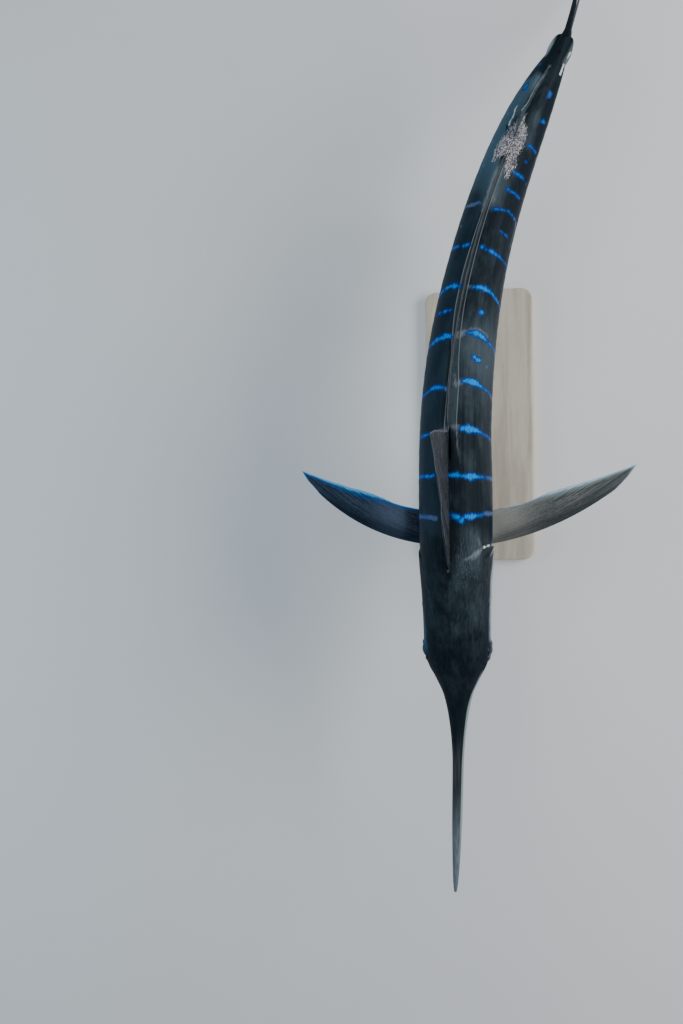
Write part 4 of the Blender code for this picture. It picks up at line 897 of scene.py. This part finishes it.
eye_finish, tree, shader = new_finish("glossy_eye")
eye_parts = read(tree, "eye_place")
eye_squares = [sum_up(tree, "POWER", eye_parts[axis], 2.0) for axis in (0, 1)]
from_pupil = sum_up(tree, "POWER", sum_up(tree, "ADD", *eye_squares), 0.5)
round_pupil = sum_up(tree, "ARCTAN2", eye_parts[1], eye_parts[0])
fibre_turns = {0: sum_up(tree, "MULTIPLY", round_pupil, 9.0),
               1: sum_up(tree, "MULTIPLY", from_pupil, 260.0)}
fibre_place = add(tree, "ShaderNodeCombineXYZ", fibre_turns).outputs[0]
fibres = grain(tree, fibre_place, detail=4.0, roughness=0.6)
iris = paint(tree, fade(tree, fibres, 0.32, 0.68), IRIS_DARK, IRIS_LIGHT)
iris = paint(tree, fade(tree, from_pupil, 0.0135, 0.0110), iris, INNER_RING)
iris = paint(tree, fade(tree, from_pupil, 0.0140, 0.0172), iris, OUTER_RING)
iris = paint(tree, fade(tree, from_pupil, PUPIL + 0.0008, PUPIL), iris, PUPIL_BLACK)
iris = paint(tree, fade(tree, from_pupil, IRIS, IRIS + 0.0016), iris, EYE_RIM)
tree.links.new(iris, shader.inputs["Base Color"])
tree.links.new(fade(tree, fibres, 0.2, 0.8, 0.16, 0.30), shader.inputs["Roughness"])
eye_bump = add(tree, "ShaderNodeBump", {"Strength": 0.15, "Distance": 0.0004, "Height": fibres})
tree.links.new(eye_bump.outputs[0], shader.inputs["Normal"])
shader.inputs["Specular IOR Level"].default_value = 0.10
shader.inputs["Coat Weight"].default_value = 0.28
shader.inputs["Coat Roughness"].default_value = 0.02

for eye_name, way in (("eye_left", 1.0), ("eye_right", -1.0)):
    bpy.ops.object.select_all(action="DESELECT")
    bpy.ops.mesh.primitive_uv_sphere_add(segments=72, ring_count=48, radius=1.0, location=(0, 0, 0),
                                         rotation=(math.pi / 2, 0, 0))
    eyeball = bpy.context.object
    bpy.ops.object.transform_apply(location=False, rotation=True, scale=False)
    eyeball.name = eyeball.data.name = f"{eye_name}_ball"
    ball = points_of(eyeball)
    run, out, up = ball[:, 0] * EYE_RADIUS, ball[:, 1], ball[:, 2] * EYE_RADIUS
    middle = float(flank(np.array([EYE]), np.array([EYE_HEIGHT]))[0]) + EYE_PROUD - EYE_BULGE
    cornea = 0.0012 * hump(np.hypot(run, up), 0.011) * (out > 0)
    reach = middle + out * EYE_BULGE + cornea + EYE_SLANT * run
    eyeball.data.vertices.foreach_set("co", on_fish(EYE + run, way * reach, EYE_HEIGHT + up).ravel())
    gather(eyeball.data, "eye_place", np.stack([run + 0.0010, up, out], axis=1))
    close_up(eyeball)
    eyeball.data.materials.append(eye_finish)
    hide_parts(eye_name)
    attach(eyeball, "root")


# The fins: each a thin web of stiff rays in a membrane, cast from the fish and let into the body at its
# root. The rays stand proud of both faces and split towards the nicked edge.


def fin_point(root, edge, bow, u, v):
    """A point of a fin's middle sheet: root, edge and bow give three runs by the share u."""
    start, end, bend = root(u), edge(u), bow(u)
    return np.stack([
        s * (1 - v) + e * v + b * 4 * v * (1 - v) for s, e, b in zip(start, end, bend)
    ], axis=1)


def along_runs(points):
    """A smooth run through (share, (place, side, height)) stops, as a function of the share."""
    shares = [share for share, _ in points]
    parts = list(zip(*[point for _, point in points]))
    return lambda u: [along(tuple(zip(shares, part)), u) for part in parts]


def web_fin(name, root, edge, bow, rays, rows, thick, nick, seed, ripple=0.0008, lead=0.0):
    """A closed fin: thick is its half thickness at the root, at a third of its length and at its edge,
    lead what the first ray adds, nick the depth of the nicks in its edge."""
    fin = flat_sheet(name, rows, 2 * rays * 6)
    flat = points_of(fin)
    v, around = flat[:, 0] + 0.5, (flat[:, 1] + 0.5) * 2
    u, face = 1 - np.abs(around - 1), np.sign(1 - around)
    draw = np.random.default_rng(seed)
    nicks = draw.uniform(0.3, 1.0, 2 * rays + 1)
    waves = draw.uniform(0.0, 6.28, 4)
    number = u * rays
    comb, fine_comb = np.cos(math.pi * number) ** 2, np.cos(2 * math.pi * number) ** 2
    split = eased(v, 0.40, 0.75)
    ray = comb ** 1.5 * (1 - split) + (0.35 * comb + 0.65 * fine_comb) * split
    ray = 1 - (1 - ray) * eased(v, 0.02, 0.15)
    end_point, start_point = np.stack(edge(u), axis=1), np.stack(root(u), axis=1)
    length = np.maximum(np.linalg.norm(end_point - start_point, axis=1), 1e-3)
    cut = nick * (1 - fine_comb) * np.interp(2 * number, np.arange(2 * rays + 1), nicks)
    cut += nick * 0.8 * np.interp(number * 0.7, np.arange(2 * rays + 1), nicks ** 3)
    v_cut = v * (1 - np.minimum(cut / length, 0.2) * eased(v, 0.5, 1.0))
    here = fin_point(root, edge, bow, u, v_cut)
    small = 2e-3
    low_u, high_u = np.clip(u - small, 0, 1), np.clip(u + small, 0, 1)
    along_ray = fin_point(root, edge, bow, u, v_cut + small) - fin_point(root, edge, bow, u, v_cut - small)
    across = fin_point(root, edge, bow, high_u, v_cut) - fin_point(root, edge, bow, low_u, v_cut)
    normal = np.cross(along_ray, across)
    normal /= np.maximum(np.linalg.norm(normal, axis=1), 1e-12)[:, None]
    body = np.interp(v, (0.0, 0.33, 1.0), thick)
    nose = np.clip(u * rays / 0.8, 0, 1) ** 0.5 * np.clip((1 - u) * rays / 0.5, 0, 1) ** 0.5
    first = lead * (1 - v) ** 0.7 * hump(number - 0.25, 0.75)
    half = (body * (1 - 0.45 * u) * (0.48 + 0.52 * ray) + first) * nose
    half *= np.clip((1 - v) / 0.012, 0, 1) ** 0.6 * np.clip(v / 0.02, 0, 1) ** 0.5
    wave = np.sin(number * 1.9 + waves[0] + 3 * v) + 0.6 * np.sin(number * 0.7 + waves[1] + 7 * v)
    bend = ripple * wave * eased(v, 0.15, 0.9)
    bend += ripple * 0.5 * np.sin(number * 4.1 + waves[2] + 15 * v) * eased(v, 0.6, 1.0)
    place, side, height = (here + normal * (face * half + bend)[:, None]).T
    fin.data.vertices.foreach_set("co", on_fish(place, side, height).ravel())
    gather(fin.data, "fin_place", np.stack([number, v, (1 - v) * length], axis=1))
    gather(fin.data, "fin_ray", np.stack([ray, u, v * length], axis=1))
    close_up(fin, 1.2e-5)
    return fin


def fin_finish(name, deep, pale, sheen, edge_colour, edge_reach, edge_share, root_colour_and_shadow, root_reach,
               bloom=0.0, shade=0.0, band=(0, 0, 0, 1), line_colour=(0, 0, 0, 1)):
    """A fin's paint: deep in the membrane and pale along the rays, with its own edge and root, whose colour
    can be painted shadow; shade says how dark it turns towards its front, with a band and a bright line of
    their own colours at its rear."""
    finish, tree, shader = new_finish(name)
    at = add(tree, "ShaderNodeAttribute", attribute_name="fin_place").outputs["Vector"]
    on_comb, fin_share, from_root = read(tree, "fin_ray")
    _, fin_way, from_edge = read(tree, "fin_place")
    streak = grain(tree, stretched(tree, at, (9.0, 1.8, 1.4)), detail=7.0, roughness=0.64)
    blotch = grain(tree, stretched(tree, at, (0.45, 5.0, 9.0)), detail=5.0, roughness=0.62)
    fleck = grain(tree, stretched(tree, at, (9.0, 60.0, 60.0)), detail=3.0)
    mottle = grain(tree, stretched(tree, at, (2.4, 48.0, 48.0)), detail=4.0, roughness=0.6)
    on_ray = sum_up(tree, "MULTIPLY_ADD", on_comb, 0.16, fade(tree, streak, 0.30, 0.70))
    coat = paint(tree, fade(tree, blotch, 0.36, 0.70, 0.12, 0.92), deep, sheen)
    near_root = fade(tree, roughened(tree, from_root, streak, root_reach * 0.9), root_reach,
                     root_reach * 0.30)
    coat = paint(tree, near_root, coat, root_colour_and_shadow)
    past_root = times(tree, fade(tree, from_root, root_reach * 0.7, root_reach),
                      fade(tree, from_root, root_reach * 2.4, root_reach * 1.2))
    coat = paint(tree, times(tree, past_root, bloom), coat, pale)
    coat = paint(tree, times(tree, fade(tree, on_ray, 0.50, 1.02), 0.75), coat, pale)
    coat = paint(tree, times(tree, fade(tree, on_ray, 0.46, 0.18), 0.42), coat, deep)
    coat = paint(tree, fade(tree, mottle, 0.50, 0.64, 0.0, 0.36), coat, pale)
    coat = paint(tree, fade(tree, mottle, 0.48, 0.36, 0.0, 0.36), coat, deep)
    coat = paint(tree, times(tree, fade(tree, fin_share, 0.20, 0.02), fade(tree, fin_way, 0.30, 0.75), 0.6),
                 coat, deep)
    to_edge = sum_up(tree, "MULTIPLY_ADD", fin_way, -0.30, 0.3001)
    back_share = sum_up(tree, "DIVIDE", fin_share, sum_up(tree, "ADD", fin_share, to_edge))
    back_share = roughened(tree, back_share, streak, 0.045)
    ragged = roughened(tree, from_edge, streak, edge_reach * 1.3)
    rim = times(tree, fade(tree, ragged, edge_reach, edge_reach * 0.3), edge_share)
    coat = paint(tree, times(tree, near_root, 0.5), coat, root_colour_and_shadow)
    coat = paint(tree, times(tree, fade(tree, back_share, 0.70, 0.14), shade), coat, deep)
    if shade:
        coat = paint(tree, fade(tree, back_share, 0.83, 0.955, 0.0, 0.85), coat, band)
        coat = paint(tree, times(tree, rim, 0.5), coat, edge_colour)
        line_share = times(tree, fade(tree, back_share, 0.945, 0.968), fade(tree, fin_way, 0.16, 0.30))
        coat = paint(tree, line_share, coat, line_colour)
    else:
        coat = paint(tree, rim, coat, edge_colour)
    coat = paint(tree, times(tree, fade(tree, fleck, 0.62, 0.72), 0.40), coat, (0.006, 0.008, 0.010, 1))
    coat = paint(tree, times(tree, fade(tree, fleck, 0.36, 0.28), 0.45), coat, pale)
    tree.links.new(coat, shader.inputs["Base Color"])
    tree.links.new(fade(tree, streak, 0.25, 0.8, 0.42, 0.62), shader.inputs["Roughness"])
    relief = sum_up(tree, "MULTIPLY_ADD", streak, 0.8, sum_up(tree, "MULTIPLY", fleck, 0.3))
    bump = add(tree, "ShaderNodeBump", {"Strength": 0.4, "Distance": 0.0010, "Height": relief})
    tree.links.new(bump.outputs[0], shader.inputs["Normal"])
    shader.inputs["Specular IOR Level"].default_value = 0.14
    shader.inputs["Specular Tint"].default_value = (0.60, 0.82, 1.0, 1)
    shader.inputs["Coat Weight"].default_value = 0.03
    shader.inputs["Coat Roughness"].default_value = 0.3
    return finish


def fit_fin(fin, finish, node):
    """Paints a fin and puts it on the fish in place of its plain solid."""
    fin.data.materials.clear()
    fin.data.materials.append(finish)
    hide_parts(node)
    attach(fin, "root")


dorsal_finish = fin_finish(
    "back_fin", (0.0075, 0.0110, 0.0170, 1), (0.088, 0.092, 0.108, 1), (0.026, 0.030, 0.040, 1),
    (0.180, 0.190, 0.215, 1), 0.005, 0.7, (0.012, 0.019, 0.026, 1), 0.030,
)


def back_of(place, above, side=0.0):
    """Points above the ridge of the back."""
    return (place, side + 0 * place, along(BACK, place) + above)


lobe_edge = along_runs((
    (0.0, (0.985, -0.002, 0.206)), (0.10, (1.080, -0.005, 0.2600)), (0.20, (1.170, -0.009, 0.2945)),
    (0.34, (1.272, -0.017, 0.3517)), (0.50, (1.287, -0.011, 0.3050)), (0.75, (1.291, -0.003, 0.2243)),
    (1.0, (1.296, 0.0, 0.1722)),
))
front_lobe = web_fin(
    "dorsal_fin_front_lobe", lambda u: back_of(0.903 + 0.352 * u, -0.012), lobe_edge,
    lambda u: (0 * u, -0.004 + 0 * u, 0.004 * (1 - u)),
    rays=22, rows=90, thick=(0.0042, 0.0030, 0.0010), nick=0.0045, seed=3, ripple=0.0016, lead=0.0012,
)
fit_fin(front_lobe, dorsal_finish, "dorsal_fin_lobe")
folded_fin = web_fin(
    "dorsal_fin_laid_back", lambda u: back_of(1.270 + 0.740 * u, -0.012),
    lambda u: back_of(1.318 + 0.775 * u, 0.0042 - 0.001 * u,
                      -0.004 - 0.003 * np.sin(np.clip(u, 0, 1) * math.pi)),
    lambda u: (0 * u, -0.001 + 0 * u, 0.002 + 0 * u),
    rays=40, rows=36, thick=(0.0046, 0.0036, 0.0014), nick=0.002, seed=5, ripple=0.0006,
)
folded_finish = fin_finish(
    "folded_back_fin", (0.030, 0.036, 0.041, 1), (0.110, 0.118, 0.124, 1), (0.060, 0.067, 0.073, 1),
    (0.150, 0.158, 0.165, 1), 0.002, 0.6, (0.045, 0.052, 0.058, 1), 0.012,
)
fit_fin(folded_fin, folded_finish, "dorsal_fin_folded")
second_edge = along_runs((
    (0.0, (2.185, 0.0, 0.1206)), (0.4, (2.205, 0.0, 0.0959)), (0.75, (2.235, 0.0, 0.0756)),
    (1.0, (2.300, 0.0, 0.0628)),
))
second_dorsal = web_fin(
    "second_dorsal_fin_web", lambda u: back_of(2.115 + 0.085 * u, -0.010), second_edge,
    lambda u: (0 * u, 0 * u, 0.004 * (1 - u)),
    rays=7, rows=44, thick=(0.0030, 0.0021, 0.0008), nick=0.002, seed=7, ripple=0.0006, lead=0.0006,
)
second_finish = fin_finish(
    "small_back_fin", (0.014, 0.028, 0.038, 1), (0.110, 0.150, 0.180, 1), (0.050, 0.080, 0.100, 1),
    (0.330, 0.410, 0.450, 1), 0.004, 0.9, (0.030, 0.052, 0.066, 1), 0.014,
)
fit_fin(second_dorsal, second_finish, "second_dorsal_fin")


def under_of(place, below, side=0.0):
    """Points below the ridge of the belly."""
    return (place, side + 0 * place, -along(BELLY, place) - below)


anal_finish = fin_finish(
    "under_fin", (0.040, 0.044, 0.054, 1), (0.20, 0.21, 0.23, 1), (0.13, 0.14, 0.16, 1),
    (0.26, 0.28, 0.30, 1), 0.008, 0.5, (0.30, 0.32, 0.34, 1), 0.040,
)
first_edge = along_runs((
    (0.0, (1.905, 0.0, -0.2535)), (0.18, (1.925, 0.0, -0.2431)), (0.40, (1.915, 0.0, -0.1863)),
    (0.70, (1.945, 0.0, -0.1286)), (1.0, (1.995, 0.0, -0.0983)),
))
first_anal = web_fin(
    "first_anal_fin_web", lambda u: under_of(1.735 + 0.205 * u, -0.012), first_edge,
    lambda u: (0 * u, 0 * u, -0.012 * (1 - u)),
    rays=14, rows=70, thick=(0.0038, 0.0026, 0.0009), nick=0.0035, seed=11, ripple=0.0010, lead=0.0010,
)
fit_fin(first_anal, anal_finish, "first_anal_fin")
last_edge = along_runs((
    (0.0, (2.150, 0.0, -0.1233)), (0.4, (2.170, 0.0, -0.0985)), (0.75, (2.200, 0.0, -0.0782)),
    (1.0, (2.265, 0.0, -0.0658)),
))
second_anal = web_fin(
    "second_anal_fin_web", lambda u: under_of(2.080 + 0.085 * u, -0.010), last_edge,
    lambda u: (0 * u, 0 * u, -0.004 * (1 - u)),
    rays=7, rows=44, thick=(0.0030, 0.0021, 0.0008), nick=0.002, seed=13, ripple=0.0006, lead=0.0006,
)
fit_fin(second_anal, anal_finish, "second_anal_fin")

# The breast fins: long scythes held out flat, painted as a lit and a shaded copy of one fin. The left one,
# lit, is greyish brown with pale streaks and a pale ragged rear edge; the right one, in painted shade, dark
# navy with a bright blue rear edge and a root painted dark as the body's shadow.
PECTORAL_TIP = (1.207, 0.502, -0.155)
PECTORAL_EDGE = (
    (0.0, (1.136, 0.442, -0.137)), (0.05, (1.180, 0.484, -0.150)), (0.09, PECTORAL_TIP),
    (0.17, (1.180, 0.430, -0.136)), (0.35, (1.155, 0.350, -0.116)),
    (0.60, (1.130, 0.262, -0.094)), (0.82, (1.100, 0.190, -0.077)), (1.0, (1.084, 0.130, -0.064)),
)
lit_left_finish = fin_finish(
    "lit_left_breast_fin", (0.026, 0.032, 0.035, 1), (0.245, 0.262, 0.260, 1), (0.082, 0.090, 0.092, 1),
    (0.180, 0.400, 0.700, 1), 0.013, 1.0, (0.290, 0.296, 0.280, 1), 0.170, shade=0.66,
    band=(0.230, 0.290, 0.310, 1), line_colour=(0.420, 0.600, 0.800, 1),
)
# Painted shade: the right fin is the shaded copy, its root painted near-black as the body's shadow.
shaded_right_finish = fin_finish(
    "shaded_right_breast_fin", (0.003, 0.011, 0.022, 1), (0.120, 0.155, 0.225, 1), (0.022, 0.048, 0.078, 1),
    (0.0, 0.200, 0.700, 1), 0.018, 1.0, (0.0006, 0.003, 0.007, 1), 0.110, 0.95, shade=0.72,
    band=(0.0, 0.125, 0.440, 1), line_colour=(0.170, 0.620, 1.0, 1),
)
for fin_side, way, finish, seed, swell in (("left", 1.0, lit_left_finish, 17, 0.025),
                                           ("right", -1.0, shaded_right_finish, 19, 0.032)):
    rear_edge = along_runs(tuple((share, (p, way * s, h)) for share, (p, s, h) in PECTORAL_EDGE))
    pectoral = web_fin(
        f"pectoral_fin_{fin_side}_web",
        lambda u, way=way: (0.978 + 0.096 * u, way * 0.075 + 0 * u, -0.050 - 0.006 * u), rear_edge,
        lambda u, way=way, swell=swell: (-swell * (1 - u) ** 1.3, way * 0.006 * (1 - u), 0.012 * (1 - u)),
        rays=22, rows=130, thick=(0.0085, 0.0030, 0.0009), nick=0.0032, seed=seed, ripple=0.0011,
        lead=0.0016,
    )
    fit_fin(pectoral, finish, f"pectoral_fin_{fin_side}")

# The belly fins: thin straps, trailing under the breast.
strap_finish = fin_finish(
    "belly_fin", (0.030, 0.035, 0.045, 1), (0.13, 0.14, 0.16, 1), (0.09, 0.10, 0.12, 1),
    (0.16, 0.18, 0.20, 1), 0.006, 0.5, (0.25, 0.27, 0.29, 1), 0.030,
)
for fin_side, way, seed in (("left", 1.0, 23), ("right", -1.0, 29)):
    strap = web_fin(
        f"pelvic_fin_{fin_side}_web",
        lambda u, way=way: (0.990 + 0.016 * u, way * (0.014 + 0.006 * u),
                            0 * u + 0.012 - along(BELLY, 0.99 + 0 * u)),
        lambda u, way=way: (1.325 - 0.012 * u, way * (0.062 + 0.0045 * u), 0 * u - 0.190),
        lambda u, way=way: (0 * u, way * 0.004 + 0 * u, -0.014 + 0 * u),
        rays=4, rows=110, thick=(0.0034, 0.0024, 0.0009), nick=0.001, seed=seed, ripple=0.0006, lead=0.0004,
    )
    fit_fin(strap, strap_finish, f"pelvic_fin_{fin_side}")

# The tail fin: a stiff crescent of two lobes, dark, with rays fanned from the end of the stem.
LOBE_TIP, FORK_LAP = (2.775, 0.400), 0.0018
LOBE_EDGE = (
    (0.0, LOBE_TIP), (0.28, (2.684, 0.285)), (0.52, (2.612, 0.180)), (0.75, (2.555, 0.088)),
    (0.90, (2.520, 0.030)), (1.0, (2.500, 0.0)),
)
tail_finish = fin_finish(
    "tail_fin", (0.005, 0.009, 0.013, 1), (0.040, 0.055, 0.064, 1), (0.015, 0.024, 0.030, 1),
    (0.060, 0.120, 0.140, 1), 0.008, 0.5, (0.010, 0.013, 0.016, 1), 0.060,
)
for lobe, way, seed in (("upper", 1.0, 31), ("lower", -1.0, 37)):
    lobe_run = along_runs(tuple((share, (p, 0.0, way * (h - FORK_LAP))) for share, (p, h) in LOBE_EDGE))
    blade = web_fin(
        f"tail_fin_{lobe}_web",
        lambda u, way=way: (2.430 + 0 * u, 0 * u, way * (0.031 * (1 - u) - FORK_LAP)), lobe_run,
        lambda u, way=way: (-0.024 * (1 - u), 0 * u, way * 0.016 * (1 - u)),
        rays=20, rows=110, thick=(0.0085, 0.0044, 0.0012), nick=0.0016, seed=seed, ripple=0.0010,
        lead=0.0012,
    )
    fit_fin(blade, tail_finish, f"tail_fin_{lobe}")


# The stand: a flat wooden base with rounded corners, two steel rods in collars, and padded saddles
# under the belly. The solids' own shapes stay, with their real finishes.
wood_finish, tree, shader = new_finish("limed_oak")
at = add(tree, "ShaderNodeTexCoord").outputs["Object"]
figure = grain(tree, stretched(tree, at, (2.2, 26.0, 26.0)), detail=7.0, roughness=0.6, distortion=0.5)
pores = grain(tree, stretched(tree, at, (30.0, 900.0, 900.0)), detail=3.0, roughness=0.6)
timber = paint(tree, fade(tree, figure, 0.34, 0.66), (0.50, 0.43, 0.34, 1), (0.66, 0.60, 0.50, 1))
timber = paint(tree, sum_up(tree, "MULTIPLY", fade(tree, pores, 0.56, 0.70), 0.45), timber,
               (0.34, 0.28, 0.21, 1))
tree.links.new(timber, shader.inputs["Base Color"])
tree.links.new(fade(tree, pores, 0.3, 0.8, 0.42, 0.62), shader.inputs["Roughness"])
wood_bump = add(tree, "ShaderNodeBump", {"Strength": 0.3, "Distance": 0.0008,
                                         "Height": sum_up(tree, "MULTIPLY_ADD", pores, -0.7, figure)})
tree.links.new(wood_bump.outputs[0], shader.inputs["Normal"])

steel_finish, tree, shader = new_finish("brushed_steel")
at = add(tree, "ShaderNodeTexCoord").outputs["Object"]
brush = grain(tree, stretched(tree, at, (1400.0, 1400.0, 30.0)), detail=3.0, roughness=0.6)
smudge = grain(tree, stretched(tree, at, (18.0, 18.0, 18.0)), detail=4.0)
tree.links.new(paint(tree, brush, (0.50, 0.51, 0.52, 1), (0.66, 0.66, 0.67, 1)),
               shader.inputs["Base Color"])
tree.links.new(sum_up(tree, "MULTIPLY_ADD", smudge, 0.16, 0.20), shader.inputs["Roughness"])
steel_bump = add(tree, "ShaderNodeBump", {"Strength": 0.12, "Distance": 0.0003, "Height": brush})
tree.links.new(steel_bump.outputs[0], shader.inputs["Normal"])
shader.inputs["Metallic"].default_value = 1.0

pad_finish, tree, shader = new_finish("dark_felt")
at = add(tree, "ShaderNodeTexCoord").outputs["Object"]
nap = grain(tree, stretched(tree, at, (700.0, 700.0, 700.0)), detail=4.0, roughness=0.7)
tree.links.new(paint(tree, fade(tree, nap, 0.3, 0.7), (0.018, 0.019, 0.021, 1), (0.050, 0.052, 0.056, 1)),
               shader.inputs["Base Color"])
pad_bump = add(tree, "ShaderNodeBump", {"Strength": 0.5, "Distance": 0.0012, "Height": nap})
tree.links.new(pad_bump.outputs[0], shader.inputs["Normal"])
shader.inputs["Roughness"].default_value = 0.9

for node, finish in (
    ("stand_base", wood_finish), ("stand_rod_front", steel_finish), ("stand_rod_rear", steel_finish),
    ("stand_collar_front", steel_finish), ("stand_collar_rear", steel_finish),
    ("stand_saddle_front", pad_finish), ("stand_saddle_rear", pad_finish),
):
    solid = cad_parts[node]
    for material_slot in solid.material_slots:
        material_slot.material = finish


# The studio: a plain pale floor, soft light from above and the image's right, and a gentle fill.
bpy.ops.object.select_all(action="DESELECT")
bpy.ops.mesh.primitive_plane_add(size=40.0, location=(0, 0, -0.001))
floor = bpy.context.object
floor.name = "studio_floor"
floor_finish, tree, shader = new_finish("pale_floor")
at = add(tree, "ShaderNodeTexCoord").outputs["Object"]
mottle = grain(tree, stretched(tree, at, (3.0, 3.0, 3.0)), detail=4.0)
tree.links.new(paint(tree, mottle, (0.86, 0.87, 0.88, 1), (0.90, 0.91, 0.92, 1)),
               shader.inputs["Base Color"])
shader.inputs["Roughness"].default_value = 0.85
floor.data.materials.append(floor_finish)


def soft_light(name, place, aim, size, power, colour):
    """A rectangular soft box, turned to face what it lights."""
    lamp_data = bpy.data.lights.new(name, "AREA")
    lamp_data.shape = "RECTANGLE"
    lamp_data.size, lamp_data.size_y = size
    lamp_data.energy = power
    lamp_data.color = colour
    lamp = bpy.data.objects.new(name, lamp_data)
    bpy.context.scene.collection.objects.link(lamp)
    lamp.location = place
    lamp.rotation_mode = "QUATERNION"
    lamp.rotation_quaternion = (Vector(aim) - Vector(place)).to_track_quat("-Z", "Y")
    return lamp


soft_light("key_light", (0.6, -4.2, 2.9), (0.0, 0.1, 0.4), (4.0, 2.0), 190.0, (1.0, 0.965, 0.92))
soft_light("fill_light", (-0.4, 4.2, 1.6), (0.0, 0.2, 0.4), (3.6, 1.6), 56.0, (0.45, 0.74, 1.0))
soft_light("top_light", (1.6, 0.6, 4.6), (0.2, 0.2, 0.4), (3.0, 3.0), 34.0, (0.95, 0.98, 1.0))

world = bpy.data.worlds.new("studio_air")
bpy.context.scene.world = world
world.use_nodes = True
world.node_tree.nodes["Background"].inputs["Color"].default_value = (0.80, 0.86, 0.92, 1)
world.node_tree.nodes["Background"].inputs["Strength"].default_value = 0.36

# The camera: almost straight above, a little to the fish's left, as the photograph looks down.
CAMERA_LEAN, CAMERA_TURN = math.radians(13.66), math.radians(-0.56)
CAMERA_AWAY, FOCAL_PIXELS, LONG_SIDE, SENSOR = 3.2, 1098.5, 1024, 36.0
right_way = Vector((0.0, -math.cos(CAMERA_LEAN), -math.sin(CAMERA_LEAN)))
away = Vector((0.0, -math.sin(CAMERA_LEAN), math.cos(CAMERA_LEAN)))
up_way = Vector((1.0, 0.0, 0.0))
turned_right = right_way * math.cos(CAMERA_TURN) + up_way * math.sin(CAMERA_TURN)
turned_up = up_way * math.cos(CAMERA_TURN) - right_way * math.sin(CAMERA_TURN)
aim = Vector((1.0762 - float(spine(MIDDLE_PLACE)[0]), 0.3365 + BASE_SIDE, SPINE_HEIGHT))
camera_data = bpy.data.cameras.new("photographer")
camera_data.sensor_width = SENSOR
camera_data.lens = FOCAL_PIXELS / LONG_SIDE * SENSOR
camera_data.clip_end = 100.0
camera = bpy.data.objects.new("photographer", camera_data)
bpy.context.scene.collection.objects.link(camera)
stand_point = aim + away * CAMERA_AWAY
turn_matrix = Matrix((turned_right, turned_up, away)).transposed().to_4x4()
camera.matrix_world = Matrix.Translation(stand_point) @ turn_matrix
bpy.context.scene.camera = camera
